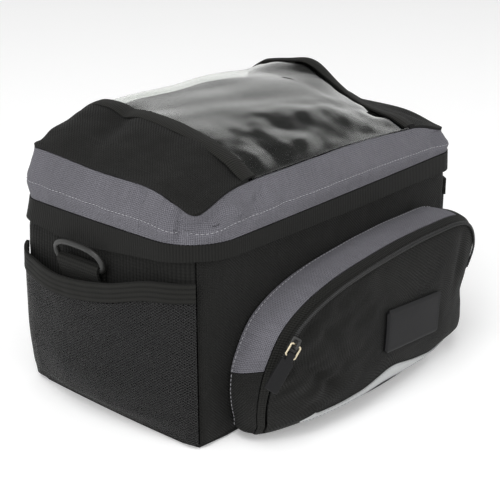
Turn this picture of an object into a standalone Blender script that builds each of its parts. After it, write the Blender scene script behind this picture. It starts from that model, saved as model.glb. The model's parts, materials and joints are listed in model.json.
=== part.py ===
"""Bicycle handlebar bag: a sewn box of coated cloth with a domed zip lid, a clear map window,
a bulging zipped front pocket, two mesh side pockets with strap rings, and a mount plate behind.

Metres, +Z up. The front pocket faces -Y, the handlebar is behind at +Y, and the bag stands on Z = 0.
Every shell is a surface function thickened along its own normal, so pieces that meet share one surface.
"""

import functools
import math
from collections import namedtuple

import bmesh
import bpy
from mathutils import Matrix, Vector

# Clearance between neighbouring pieces
GAP = 0.0004

# Body
BASE_WIDTH = 0.274
BASE_DEPTH = 0.154
BASE_RADIUS = 0.008
RIM_WIDTH = 0.280
RIM_DEPTH = 0.160
RIM_RADIUS = 0.034
BODY_HEIGHT = 0.1365
BODY_WALL = 0.0025
SIDE_BOW = 0.0040
FRONT_BOW = 0.0025
BACK_SAG = 0.0095
BASE_THICKNESS = 0.0030

# Lid
BAND_HEIGHT = 0.0290
BAND_WALL = 0.0020
BACK_RISE = 0.0050
RIGHT_DROP = 0.0065
TOP_INSET = 0.0055
TOP_RADIUS = 0.0060
CORNER_SPREAD = 0.024
TOP_SEAT = 0.0010
TOP_WALL = 0.0016
CROWN = 0.0270
SKIRT_WALL = 0.0016
SKIRT_FLARE = 0.0008
SKIRT_DROP = 0.0135

# Map window and its end bindings
BINDING_REACH = 0.087
BINDING_WIDTH = 0.0085
BINDING_THICKNESS = 0.0015
WINDOW_THICKNESS = 0.0008
WINDOW_PUFF = 0.0030

# Side pockets
HEM_TOP = 0.1125
HEM_HEIGHT = 0.0125
HEM_THICKNESS = 0.0022
MESH_THICKNESS = 0.0010
MESH_BULGE = 0.0130

# Strap rings
WEBBING_WIDTH = 0.038
WEBBING_THICKNESS = 0.0015
RING_WIRE = 0.0040
RING_RISE = 0.0145
RING_PLACE = 0.016
RING_BELOW_RIM = 0.0305
RING_TILT = 14.0
WEBBING_DROP = 0.020

# Front pocket
POCKET_HALF_WIDTH = 0.113
POCKET_OFFSET = 0.006
POCKET_HEIGHT = 0.102
POCKET_DEPTH = 0.045
POCKET_FRONT_DEPTH = 0.048
POCKET_MIDDLE = 0.050
POCKET_WALL = 0.0018
GUSSET_PUFF = 0.0025
SEAM_SEAT = 0.0006
ZIP_WIDTH = 0.0042
ZIP_THICKNESS = 0.0014
STRIP_WIDTH = 0.012
STRIP_LINE_RIGHT = 0.0020
STRIP_LINE_LEFT = 0.0240
STRIP_THICKNESS = 0.0006
LABEL_WIDTH = 0.062
LABEL_HEIGHT = 0.027
LABEL_THICKNESS = 0.0020
LABEL_SEAT = 0.0006
LABEL_PLACE = 0.0195
LABEL_HEIGHT_PLACE = 0.0515
LABEL_TILT = -5.0
SLIDER_LENGTH = 0.0095
SLIDER_WIDTH = 0.0070
SLIDER_THICKNESS = 0.0032
SLIDER_BEVEL = 0.0008
BRIDGE_LENGTH = 0.0066
BRIDGE_WIDTH = 0.0025
BRIDGE_BEVEL = 0.0004
BRIDGE_BORES = 2.6
BORE_LIFT = 0.7
PULL_WIRE = 0.0014
PULL_WIDTH = 0.0090
PULL_LENGTH = 0.0095
TAB_LENGTH = 0.0240
TAB_WIDTH = 0.0100
TAB_THICKNESS = 0.0034
NECK_WIDTH = 0.0052
NECK_LENGTH = 0.0050
NECK_SHOULDER = 0.0012
TAB_BEVEL = 0.0005

# Mount plate on the back
PLATE_WIDTH = 0.120
PLATE_HEIGHT = 0.072
PLATE_THICKNESS = 0.0040
PLATE_BEVEL = 0.0015
PLATE_CENTRE = 0.080
BLOCK_WIDTH = 0.064
BLOCK_HEIGHT = 0.044
BLOCK_THICKNESS = 0.0100
SLOT_WIDTH = 0.036
SLOT_HEIGHT = 0.0080
SLOT_DEPTH = 0.0070
SLOT_BEVEL = 0.0005

Material = namedtuple("Material", "colour roughness metallic alpha")
MATERIALS = {
    "black_cloth": Material((0.020, 0.020, 0.019), 0.85, 0.0, 1.0),
    "grey_cloth": Material((0.155, 0.150, 0.170), 0.85, 0.0, 1.0),
    "black_tape": Material((0.024, 0.024, 0.022), 0.80, 0.0, 1.0),
    "black_mesh": Material((0.018, 0.018, 0.018), 0.75, 0.0, 1.0),
    "clear_vinyl": Material((0.60, 0.61, 0.58), 0.12, 0.0, 0.35),
    "black_plastic": Material((0.030, 0.030, 0.028), 0.45, 0.0, 1.0),
    "black_rubber": Material((0.032, 0.032, 0.033), 0.60, 0.0, 1.0),
    "reflective_grey": Material((0.42, 0.43, 0.43), 0.40, 0.1, 1.0),
    "brass_wire": Material((0.62, 0.52, 0.34), 0.30, 1.0, 1.0),
}

# How far the back corners sag outward, from the base (0) to the rim (1), as a share of BACK_SAG.
SagRow = namedtuple("SagRow", "up sag")
SAG_ROWS = (
    SagRow(0.00, 0.70),
    SagRow(0.12, 0.92),
    SagRow(0.40, 1.00),
    SagRow(0.85, 0.60),
    SagRow(1.00, 0.00),
)

# How the lid band leans in as it rises: share of its height, and how far it stands out from the rim.
BandRow = namedtuple("BandRow", "rise out")
BAND_PROFILE = (
    BandRow(0.00, 0.0010),
    BandRow(0.35, 0.0022),
    BandRow(0.70, -0.0020),
    BandRow(1.00, -TOP_INSET),
)

# The corners, counter-clockwise seen from above from the front left one: the sides they lie on,
# their radius at the rim as a share of RIM_RADIUS, and how far the lid's top is pulled down there.
Corner = namedtuple("Corner", "side_x side_y radius dip")
CORNERS = (
    Corner(-1, -1, 1.00, 0.0105),
    Corner(1, -1, 0.50, 0.0085),
    Corner(1, 1, 0.55, 0.0030),
    Corner(-1, 1, 0.50, 0.0010),
)

# How high the lid's top stands, as a share of its crown, from its front edge (-1) to its back edge (1),
# and from its left end (-1) to its right end (1).
CrownRow = namedtuple("CrownRow", "place rise")
CROWN_BACK = (
    CrownRow(-1.00, 0.00),
    CrownRow(-0.80, 0.36),
    CrownRow(-0.52, 0.68),
    CrownRow(-0.10, 0.95),
    CrownRow(0.35, 1.00),
    CrownRow(0.75, 0.90),
    CrownRow(0.93, 0.56),
    CrownRow(1.00, 0.00),
)
CROWN_ACROSS = (
    CrownRow(-1.00, 0.00),
    CrownRow(-0.88, 0.44),
    CrownRow(-0.68, 0.86),
    CrownRow(-0.31, 0.82),
    CrownRow(0.05, 0.80),
    CrownRow(0.41, 0.92),
    CrownRow(0.62, 1.14),
    CrownRow(0.74, 0.86),
    CrownRow(0.88, 0.18),
    CrownRow(1.00, 0.00),
)

# How deep the skirt hangs, as a share of its drop, round the ring of corners:
# station 0 is the front left corner, 1 front right, 2 back right, 3 back left.
SkirtRow = namedtuple("SkirtRow", "station drop")
SKIRT_ROWS = (
    SkirtRow(0.00, 0.75),
    SkirtRow(0.50, 0.95),
    SkirtRow(1.00, 1.05),
    SkirtRow(1.50, 1.20),
    SkirtRow(2.50, 1.00),
    SkirtRow(3.00, 1.10),
    SkirtRow(3.35, 1.40),
    SkirtRow(3.70, 1.05),
    SkirtRow(4.00, 0.75),
)

# Folds of the lid's top: middle as shares of its half sizes, heading in degrees from +X,
# half length and half width as shares of its half depth, and depth as a share of the crown,
# below zero where the sheet swells instead.
Fold = namedtuple("Fold", "across back heading length width depth")
LID_FOLDS = (
    Fold(-0.80, 0.34, 12.0, 0.34, 0.115, 0.20),
    Fold(-0.86, -0.30, 35.0, 0.30, 0.13, 0.10),
    Fold(0.70, -0.55, 75.0, 0.60, 0.40, 0.70),
    Fold(0.55, 0.85, 0.0, 0.35, 0.30, 0.16),
    Fold(0.66, 0.20, 0.0, 0.16, 0.20, -0.20),
)

# The side pockets' top edge, from the front seam (-1) to the back seam (1):
# sag as a share of the hem's height, and how much of the full bulge it has.
HemRow = namedtuple("HemRow", "along sag bulge")
HEM_ROWS = (
    HemRow(-1.0, 0.0, 0.00),
    HemRow(-0.6, 0.1, 0.40),
    HemRow(-0.15, 0.8, 0.90),
    HemRow(0.35, 1.3, 0.92),
    HemRow(0.75, 1.1, 0.50),
    HemRow(1.0, 0.8, 0.00),
)
# The mesh's bulge from the base (0) to the hem (1).
MeshRow = namedtuple("MeshRow", "up bulge")
MESH_ROWS = (
    MeshRow(0.00, 0.00),
    MeshRow(0.12, 0.62),
    MeshRow(0.35, 1.00),
    MeshRow(0.70, 1.00),
    MeshRow(1.00, 1.00),
)

# The front pocket, station by station round its seam, clockwise seen from the front, from its lower left:
# across and up are shares of its half width and height, depth and forward shares of its depth
# (the gusset, and the zip tape in front of it), draw_in the share by which the zip tape closes in,
# and fill the power that rounds the front panel off towards its edge.
Station = namedtuple("Station", "across up depth forward draw_in fill")
POCKET_STATIONS = (
    Station(-0.940, 0.018, 0.40, 0.10, 0.03, 4.5),
    Station(-1.005, 0.120, 0.48, 0.10, 0.03, 4.5),
    Station(-1.040, 0.330, 0.56, 0.11, 0.03, 4.0),
    Station(-1.000, 0.555, 0.60, 0.13, 0.04, 3.2),
    Station(-0.850, 0.790, 0.62, 0.16, 0.05, 2.8),
    Station(-0.530, 0.935, 0.63, 0.18, 0.06, 2.6),
    Station(0.000, 1.000, 0.62, 0.18, 0.07, 2.6),
    Station(0.500, 1.010, 0.62, 0.18, 0.06, 2.6),
    Station(0.880, 0.970, 0.64, 0.18, 0.06, 3.0),
    Station(1.040, 0.760, 0.66, 0.16, 0.09, 3.4),
    Station(1.010, 0.420, 0.58, 0.10, 0.08, 4.0),
    Station(1.000, 0.120, 0.49, 0.10, 0.03, 4.5),
    Station(0.940, 0.018, 0.40, 0.10, 0.03, 4.5),
    Station(0.500, 0.008, 0.64, 0.10, 0.03, 4.2),
    Station(0.000, 0.008, 0.72, 0.10, 0.03, 4.2),
    Station(-0.500, 0.008, 0.62, 0.10, 0.03, 4.2),
)
# Where the grey part of the gusset, the zip and the reflective strip begin and end, as station numbers,
# and how many stations the grey part's lower left end leans up from the wall to the gusset's edge.
GREY_FROM, GREY_TO = 2.50, 7.85
GREY_LEAN = 0.40
ZIP_FROM, ZIP_TO = 2.75, 9.6
STRIP_FROM, STRIP_TO = 12.4, 16.2
SLIDER_AT = 3.65
# Columns from one station to the next.
RING_SPLIT = 3
# Which part of the pocket's skin is what: wall seam, gusset edge, zip line, middle of the front.
SEAM, EDGE, ZIP_LINE, MIDDLE = 0.0, 1.0, 2.0, 3.0
# Step in which lengths inward from the zip line are summed up.
LINE_STEP = 0.02

# Folds of the pocket's front, in the pocket's own shares: across and up of the middle,
# heading in degrees from +X, half length and half width as shares of the height, depth as a share of depth.
POCKET_FOLDS = (
    Fold(-0.70, 0.42, -38.0, 0.24, 0.045, 0.085),
    Fold(-0.60, 0.62, -62.0, 0.20, 0.050, 0.060),
    Fold(-0.74, 0.24, -15.0, 0.18, 0.050, 0.055),
    Fold(0.72, 0.74, 60.0, 0.22, 0.060, 0.070),
)


def lerp(a, b, share):
    """The value that share of the way from a to b."""
    return a + (b - a) * share


def smoothstep(low, high, value):
    """0 below low, 1 above high, and a smooth rise between them."""
    share = min(1.0, max(0.0, (value - low) / (high - low)))
    return share * share * (3.0 - 2.0 * share)


def spread(low, high, count):
    """count + 1 values evenly spaced from low to high."""
    return [lerp(low, high, i / count) for i in range(count + 1)]


def catmull(p0, p1, p2, p3, t):
    """A smooth curve through p1 (t = 0) and p2 (t = 1)."""
    return 0.5 * (
        2.0 * p1
        + (p2 - p0) * t
        + (2.0 * p0 - 5.0 * p1 + 4.0 * p2 - p3) * t * t
        + (3.0 * p1 - p0 - 3.0 * p2 + p3) * t * t * t
    )


def read_row(rows, column, key_column, key):
    """A column of a table at a key between its rows, by a smooth curve through the rows."""
    last = len(rows) - 1
    i = 0
    while i < last - 1 and key > getattr(rows[i + 1], key_column):
        i += 1
    low, high = getattr(rows[i], key_column), getattr(rows[i + 1], key_column)
    values = [getattr(rows[min(last, max(0, i + k))], column) for k in (-1, 0, 1, 2)]
    share = min(1.0, max(0.0, (key - low) / (high - low)))
    return catmull(*values, share)


def fold_depth(folds, across, up, half_across, half_up, unit):
    """How deep the folds are at a point, as a share of their own measure. Lengths are in metres."""
    total = 0.0
    for fold in folds:
        dx = across - fold.across * half_across
        dy = up - fold.back * half_up
        angle = math.radians(fold.heading)
        along = (dx * math.cos(angle) + dy * math.sin(angle)) / (fold.length * unit)
        beside = (dy * math.cos(angle) - dx * math.sin(angle)) / (fold.width * unit)
        total += fold.depth * math.exp(-along * along - beside * beside)
    return total


SIDES = ("front", "right", "back", "left")


def outline_point(side, along, half_w, half_d, radii):
    """A point of a rounded rectangle with a radius for each of CORNERS, where along runs from corner
    seam (-1) to corner seam (1) of a side, counter-clockwise seen from above."""
    half, reach = (half_w, half_d) if side in ("front", "back") else (half_d, half_w)
    start = SIDES.index(side)
    radius = radii[start] if along < 0.0 else radii[(start + 1) % 4]
    straight = half - radius
    run = abs(along) * (straight + radius * math.pi / 4.0)
    if run <= straight:
        u, v = run, reach
    else:
        angle = (run - straight) / radius
        u = straight + radius * math.sin(angle)
        v = reach - radius * (1.0 - math.cos(angle))
    u = math.copysign(u, along)
    return {"front": (u, -v), "right": (v, u), "back": (-u, v), "left": (-v, -u)}[side]


def bow_out(x, y, half_w, half_d, amount):
    """Pushes the middle of the ends, and of the front, outward by a share of their bow."""
    bowed_x = x + math.copysign(SIDE_BOW * amount, x) * (1.0 - (y / half_d) ** 2) * (x / half_w) ** 2
    if y < 0.0:
        y -= FRONT_BOW * amount * (1.0 - (x / half_w) ** 2) * (y / half_d) ** 2
    return bowed_x, y


def corner_radii(share, out=0.0):
    """Each corner's radius at a share of the body's height, out metres outside the wall."""
    return [lerp(BASE_RADIUS, RIM_RADIUS * c.radius, share**1.3) + out for c in CORNERS]


def wall_point(side, along, height, out=0.0):
    """A point of the body's outer wall, or out metres outside it."""
    share = min(1.0, max(0.0, height / BODY_HEIGHT))
    half_w = lerp(BASE_WIDTH, RIM_WIDTH, share) / 2.0 + out
    half_d = lerp(BASE_DEPTH, RIM_DEPTH, share) / 2.0 + out
    x, y = outline_point(side, along, half_w, half_d, corner_radii(share, out))
    belly = 0.35 + 0.65 * math.sin(math.pi * min(1.0, share + 0.08))
    x, y = bow_out(x, y, half_w, half_d, belly)
    y += BACK_SAG * read_row(SAG_ROWS, "sag", "up", share) * smoothstep(0.0, half_d, y) * (x / half_w) ** 4
    return Vector((x, y, height))


@functools.cache
def wall_at(side, place, height):
    """The outer wall's point at this X on the front or back, or at this Y on an end."""
    low, high = -1.0, 1.0
    axis, turn = {"front": (0, 1), "right": (1, 1), "back": (0, -1), "left": (1, -1)}[side]
    for _ in range(30):
        middle = (low + high) / 2.0
        if turn * (wall_point(side, middle, height)[axis] - place) < 0.0:
            low = middle
        else:
            high = middle
    return wall_point(side, middle, height)


def new_material(name):
    """The Principled material that MATERIALS describes."""
    facts = MATERIALS[name]
    material = bpy.data.materials.new(name)
    material.use_nodes = True
    shader = material.node_tree.nodes["Principled BSDF"]
    shader.inputs["Base Color"].default_value = (*facts.colour, 1.0)
    shader.inputs["Roughness"].default_value = facts.roughness
    shader.inputs["Metallic"].default_value = facts.metallic
    shader.inputs["Alpha"].default_value = facts.alpha
    material.diffuse_color = (*facts.colour, facts.alpha)
    return material


def add_object(name, data, material):
    """Links an object of this name, in the material of that name."""
    obj = bpy.data.objects.new(name, data)
    bpy.context.scene.collection.objects.link(obj)
    data.materials.append(bpy.data.materials.get(material) or new_material(material))
    return obj


def finish_mesh(name, bm, material, sharp_degrees=35.0):
    """Turns a bmesh into a smooth-shaded object with outward faces."""
    bmesh.ops.recalc_face_normals(bm, faces=bm.faces)
    mesh = bpy.data.meshes.new(name)
    bm.to_mesh(mesh)
    bm.free()
    mesh.shade_smooth()
    mesh.set_sharp_from_angle(angle=math.radians(sharp_degrees))
    return add_object(name, mesh, material)


def normal_at(surface, u, v, step=0.002, v_step=0.002):
    """The surface's unit normal, from how it changes either side of the point."""
    along_u = surface(u + step, v) - surface(u - step, v)
    along_v = surface(u, v + v_step) - surface(u, v - v_step)
    return along_u.cross(along_v).normalized()


def sheet(name, surface, us, vs, top, bottom, material, closed=False, normal=normal_at):
    """A cloth wall: the surface over a grid of u (columns) and v (rows), thickened along its normal
    from bottom to top. A closed sheet joins its last column to its first."""
    bm = bmesh.new()
    skins = []
    for offset in (top, bottom):
        skins.append([
            [bm.verts.new(surface(u, v) + normal(surface, u, v) * offset) for u in us] for v in vs
        ])
    columns = len(us)
    steps = columns if closed else columns - 1
    for rows in skins:
        for low, high in zip(rows, rows[1:]):
            for j in range(steps):
                k = (j + 1) % columns
                bm.faces.new((low[j], low[k], high[k], high[j]))
    for i in (0, -1):
        for j in range(steps):
            k = (j + 1) % columns
            bm.faces.new((skins[0][i][j], skins[0][i][k], skins[1][i][k], skins[1][i][j]))
    if not closed:
        for j in (0, -1):
            for i in range(len(vs) - 1):
                outer, inner = skins
                bm.faces.new((outer[i][j], outer[i + 1][j], inner[i + 1][j], inner[i][j]))
    return finish_mesh(name, bm, material)


def disc_sheet(name, surface, us, vs, top, bottom, material, normal=normal_at):
    """A cloth wall over closed rings of u, from the outer ring (first v) to a middle point (last v)."""
    bm = bmesh.new()
    skins = []
    for offset in (top, bottom):
        rings = [
            [bm.verts.new(surface(u, v) + normal(surface, u, v) * offset) for u in us] for v in vs[:-1]
        ]
        skins.append((rings, bm.verts.new(surface(us[0], vs[-1]) + Vector((0.0, -offset, 0.0)))))
    count = len(us)
    for rings, middle in skins:
        for outer, inner in zip(rings, rings[1:]):
            for j in range(count):
                k = (j + 1) % count
                bm.faces.new((outer[j], outer[k], inner[k], inner[j]))
        for j in range(count):
            bm.faces.new((rings[-1][j], rings[-1][(j + 1) % count], middle))
    front, back = skins[0][0][0], skins[1][0][0]
    for j in range(count):
        k = (j + 1) % count
        bm.faces.new((front[j], front[k], back[k], back[j]))
    return finish_mesh(name, bm, material)


def box_mesh(name, size, material, bevel, segments=2):
    """A box centred on its origin, with rounded edges."""
    bm = bmesh.new()
    bmesh.ops.create_cube(bm, size=1.0)
    bmesh.ops.scale(bm, vec=size, verts=bm.verts)
    obj = finish_mesh(name, bm, material)
    rounding = obj.modifiers.new("Rounded edges", "BEVEL")
    rounding.width = bevel
    rounding.segments = segments
    rounding.limit_method = "ANGLE"
    return obj


def round_wire(name, points, diameter, material, resolution=2):
    """A closed loop of round wire through the points."""
    curve = bpy.data.curves.new(name, "CURVE")
    curve.dimensions = "3D"
    curve.bevel_depth = diameter / 2.0
    curve.bevel_resolution = resolution
    spline = curve.splines.new("POLY")
    spline.points.add(len(points) - 1)
    for knot, point in zip(spline.points, points):
        knot.co = (*point, 1.0)
    spline.use_cyclic_u = True
    return add_object(name, curve, material)


def along_values(side, count):
    """Stations along a side, closer together round its corners, clear of the corner seams."""
    half = (RIM_WIDTH if side in ("front", "back") else RIM_DEPTH) / 2.0
    straight = (half - RIM_RADIUS) / (half - RIM_RADIUS + RIM_RADIUS * math.pi / 4.0)
    corner = spread(straight, 1.0 - GAP / half, 4)
    return [-value for value in reversed(corner)] + spread(-straight, straight, count)[1:-1] + corner


COLUMNS = {"front": 8, "right": 6, "back": 6, "left": 6}


def ring_place(u):
    """The side and the place along it of a station round the ring of corners."""
    whole = math.floor(u)
    return SIDES[whole % 4], 2.0 * (u - whole) - 1.0


def ring_stations():
    """Stations of a whole ring, matching those of the wall panels."""
    stations = []
    for i, side in enumerate(SIDES):
        stations += [i + (a + 1.0) / 2.0 for a in [-1.0] + along_values(side, COLUMNS[side])[1:-1]]
    return stations


def build_body():
    """Four wall panels that meet at corner seams, standing on a base panel."""
    shares = (0.09, 0.28, 0.50, 0.76)
    levels = [BASE_THICKNESS + GAP] + [BODY_HEIGHT * t for t in shares] + [BODY_HEIGHT - GAP]
    names = {
        "front": "front_panel",
        "back": "back_panel",
        "left": "side_panel_left",
        "right": "side_panel_right",
    }
    for side, name in names.items():
        sheet(
            name,
            lambda u, v, side=side: wall_point(side, u, v),
            along_values(side, COLUMNS[side]),
            levels,
            0.0,
            -BODY_WALL,
            "black_cloth",
        )
    build_base()


def build_base():
    """The flat base panel, which the walls stand on."""
    bm = bmesh.new()
    rings = []
    for height, inset in ((0.0, 0.0012), (0.0010, 0.0), (BASE_THICKNESS, 0.0)):
        ring = []
        for u in ring_stations():
            point = wall_point(*ring_place(u), 0.0, -inset)
            ring.append(bm.verts.new((point.x, point.y, height)))
        rings.append(ring)
    for low, high in zip(rings, rings[1:]):
        for j in range(len(low)):
            k = (j + 1) % len(low)
            bm.faces.new((low[j], low[k], high[k], high[j]))
    bm.faces.new(rings[0])
    bm.faces.new(rings[-1])
    finish_mesh("base_panel", bm, "black_cloth")


def rim_height(x, y):
    """The height of the seam between the lid's band and its top."""
    height = BODY_HEIGHT + BAND_HEIGHT + BACK_RISE * smoothstep(0.0, RIM_DEPTH / 2.0, y)
    height -= RIGHT_DROP * smoothstep(0.0, RIM_WIDTH / 2.0, x)
    for corner in CORNERS:
        dx = x - corner.side_x * (RIM_WIDTH / 2.0 - TOP_INSET)
        dy = y - corner.side_y * (RIM_DEPTH / 2.0 - TOP_INSET)
        height -= corner.dip * math.exp(-(dx * dx + dy * dy) / CORNER_SPREAD**2)
    return height


def band_point(u, v):
    """The lid band's outer face, from the rim (v = 0) to the lid's top (v = 1)."""
    out = read_row(BAND_PROFILE, "out", "rise", v)
    half_w, half_d = RIM_WIDTH / 2.0 + out, RIM_DEPTH / 2.0 + out
    radii = [lerp(RIM_RADIUS * c.radius, TOP_RADIUS, max(0.0, v) ** 2) for c in CORNERS]
    x, y = outline_point(*ring_place(u), half_w, half_d, radii)
    x, y = bow_out(x, y, half_w, half_d, 0.35 * (1.0 - v))
    return Vector((x, y, lerp(BODY_HEIGHT + GAP, rim_height(x, y) - TOP_SEAT, v)))


def skirt_point(u, v):
    """The skirt's inner face, from its hanging edge (v = 0) to the rim (v = 1)."""
    drop = SKIRT_DROP * read_row(SKIRT_ROWS, "drop", "station", u % 4.0)
    return wall_point(*ring_place(u), BODY_HEIGHT - drop * (1.0 - v), GAP + SKIRT_FLARE * (1.0 - v))


def top_point(u, v):
    """The lid's top, from end to end (u) and front to back (v), both -1 to 1."""
    half_w, half_d = RIM_WIDTH / 2.0 - TOP_INSET, RIM_DEPTH / 2.0 - TOP_INSET
    x, y = u * half_w, v * half_d
    over_x = (abs(x) - half_w + TOP_RADIUS) / TOP_RADIUS
    over_y = (abs(y) - half_d + TOP_RADIUS) / TOP_RADIUS
    if over_x > 0.0 and over_y > 0.0:
        round_x = over_x * math.sqrt(max(0.0, 1.0 - over_y**2 / 2.0))
        round_y = over_y * math.sqrt(max(0.0, 1.0 - over_x**2 / 2.0))
        x = math.copysign(half_w + TOP_RADIUS * (round_x - 1.0), x)
        y = math.copysign(half_d + TOP_RADIUS * (round_y - 1.0), y)
    back = read_row(CROWN_BACK, "rise", "place", v)
    rise = back * read_row(CROWN_ACROSS, "rise", "place", u)
    folds = fold_depth(LID_FOLDS, x, y, half_w, half_d, half_d)
    lift = CROWN * rise * (1.0 - folds)
    inside = max(0.0, 1.0 - (x / BINDING_REACH) ** 2)
    return Vector((x, y, rim_height(x, y) + lift + WINDOW_PUFF * inside**2 * back))


def build_lid():
    """The lid: band, skirt over its zip, two end panels, and the clear window between bindings."""
    half_w, half_d = RIM_WIDTH / 2.0 - TOP_INSET, RIM_DEPTH / 2.0 - TOP_INSET
    ring = ring_stations()
    fine = [u + k / 12.0 for u in range(4) for k in range(12)]
    rises = [row.rise for row in BAND_PROFILE]
    sheet("lid_band", band_point, fine, rises, 0.0, -BAND_WALL, "grey_cloth", closed=True)
    sheet("lid_skirt", skirt_point, ring, (0.0, 0.5, 1.0), SKIRT_WALL, 0.0, "black_tape", closed=True)
    edge = 1.0 - GAP / half_d
    depths = [edge * math.sin(math.pi / 2.0 * share) for share in spread(-1.0, 1.0, 14)]
    end = 1.0 - GAP / half_w
    reach = BINDING_REACH / half_w
    slack = GAP / half_w
    width = BINDING_WIDTH / 2.0 / half_w
    for side, name in ((-1.0, "left"), (1.0, "right")):
        outward = [lerp(reach + slack, end, math.sin(math.pi / 2.0 * t)) for t in spread(0.0, 1.0, 7)]
        columns = sorted(side * value for value in outward)
        sheet(f"lid_panel_{name}", top_point, columns, depths, TOP_SEAT + TOP_WALL, TOP_SEAT, "black_cloth")
        tape = sorted(side * value for value in (reach - width, reach, reach + width))
        low = TOP_SEAT + TOP_WALL + GAP
        sheet(
            f"window_binding_{name}", top_point, tape, depths, low + BINDING_THICKNESS, low, "black_tape"
        )
    across = spread(-reach + slack, reach - slack, 10)
    sheet("map_window", top_point, across, depths, TOP_SEAT + WINDOW_THICKNESS, TOP_SEAT, "clear_vinyl")


def hem_height(place):
    """The height of a side pocket's top edge."""
    return HEM_TOP - HEM_HEIGHT * read_row(HEM_ROWS, "sag", "along", place)


def pocket_side_point(side, place, height, bulge):
    """A point of a side pocket, from the front seam (-1) to the back seam (1)."""
    out = GAP + MESH_BULGE * bulge * max(0.0, read_row(HEM_ROWS, "bulge", "along", place))
    return wall_point(side, place if side == "right" else -place, height, out)


def build_side_pockets():
    """A mesh pocket with an elastic hem on each end, open at the top."""
    for side in ("left", "right"):
        places = along_values(side, COLUMNS[side])
        if side == "left":
            places.reverse()
        flip = 1.0 if side == "right" else -1.0
        low = BASE_THICKNESS + GAP

        def mesh_point(u, v, side=side, flip=flip, low=low):
            place = flip * u
            height = lerp(low, hem_height(place) - HEM_HEIGHT - GAP, v)
            return pocket_side_point(side, place, height, read_row(MESH_ROWS, "bulge", "up", v))

        def hem_point(u, v, side=side, flip=flip):
            place = flip * u
            height = hem_height(place) - HEM_HEIGHT * (1.0 - v)
            return pocket_side_point(side, place, height, 1.0 - 0.14 * v)

        us = sorted(flip * place for place in places)
        ups = (0.0, 0.06, 0.14, 0.26, 0.42, 0.60, 0.80, 1.0)
        sheet(f"mesh_pocket_{side}", mesh_point, us, ups, MESH_THICKNESS, 0.0, "black_mesh")
        sheet(f"pocket_hem_{side}", hem_point, us, (0.0, 0.5, 1.0), HEM_THICKNESS, 0.0, "black_tape")


def strap_tab(name, centre, side_x, turn):
    """A webbing tab that comes up from the wall, over the ring's bar, and back down."""
    half = WEBBING_THICKNESS / 2.0
    radius = RING_WIRE / 2.0 + GAP + half
    drop = WEBBING_DROP
    path = [(half, -drop), (half, -0.3 * drop), (half, 0.0)]
    for angle in spread(math.pi, 0.0, 8)[1:]:
        path.append((half + radius + radius * math.cos(angle), radius * math.sin(angle)))
    flat = 3.0 * half + 2.0 * GAP
    path += [(half + 1.7 * radius, -0.2 * drop), (flat, -0.6 * drop), (flat, -drop)]
    bm = bmesh.new()
    sections = []
    for y in (-WEBBING_WIDTH / 2.0, WEBBING_WIDTH / 2.0):
        outer, inner = [], []
        for i, (out, up) in enumerate(path):
            before, after = path[max(0, i - 1)], path[min(len(path) - 1, i + 1)]
            heading = Vector((after[0] - before[0], after[1] - before[1])).normalized()
            for row, offset in ((outer, half), (inner, -half)):
                x, z = out - heading.y * offset, up + heading.x * offset
                row.append(bm.verts.new((side_x * x, y, z)))
        sections.append(outer + inner[::-1])
    count = len(sections[0])
    for i in range(count):
        j = (i + 1) % count
        bm.faces.new((sections[0][i], sections[0][j], sections[1][j], sections[1][i]))
    last = len(path) - 1
    for section in sections:
        for i in range(last):
            bm.faces.new((section[i], section[i + 1], section[count - 2 - i], section[count - 1 - i]))
    tab = finish_mesh(name, bm, "black_tape")
    tab.location = centre
    tab.rotation_euler.z = turn


def build_rings():
    """A D-shaped plastic ring in a webbing tab on each end."""
    half = WEBBING_WIDTH / 2.0 + 2.0 * GAP + RING_WIRE / 2.0
    corner = RING_WIRE
    bar = BODY_HEIGHT - RING_BELOW_RIM
    for side, side_x in (("left", -1.0), ("right", 1.0)):
        reach = max(
            abs(wall_at(side, RING_PLACE + share * WEBBING_WIDTH, height).x)
            for share in (-0.5, -0.25, 0.0, 0.5)
            for height in (bar - WEBBING_DROP, bar)
        )
        seat = Vector((side_x * (reach + GAP), RING_PLACE, bar))
        strap_tab(f"ring_tab_{side}", seat, side_x, 0.0)
        points = []
        for angle in spread(0.0, math.pi, 16):
            y, z = math.cos(angle), math.sin(angle)
            stretch = 1.0 / (abs(y) ** 2.6 + abs(z) ** 2.6) ** (1.0 / 2.6)
            points.append((0.0, half * y * stretch, corner + (RING_RISE - corner) * z * stretch))
        for centre_y, start in ((-half + corner, math.pi), (half - corner, 1.5 * math.pi)):
            for angle in spread(start, start + math.pi / 2.0, 4)[(1 if start < 4.0 else 0):]:
                y = centre_y + corner * math.cos(angle)
                points.append((0.0, y, corner + corner * math.sin(angle)))
        ring = round_wire(f"d_ring_{side}", points[:-1], RING_WIRE, "black_plastic")
        radius = RING_WIRE / 2.0 + GAP + WEBBING_THICKNESS / 2.0
        ring.location = seat + Vector((side_x * (WEBBING_THICKNESS / 2.0 + radius), 0.0, 0.0))
        ring.rotation_euler.y = side_x * math.radians(RING_TILT)


def station_value(column, u):
    """A column of the front pocket's stations, by a smooth closed curve through them."""
    count = len(POCKET_STATIONS)
    whole = math.floor(u)
    values = [getattr(POCKET_STATIONS[(whole + k) % count], column) for k in (-1, 0, 1, 2)]
    return catmull(*values, u - whole)


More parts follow.
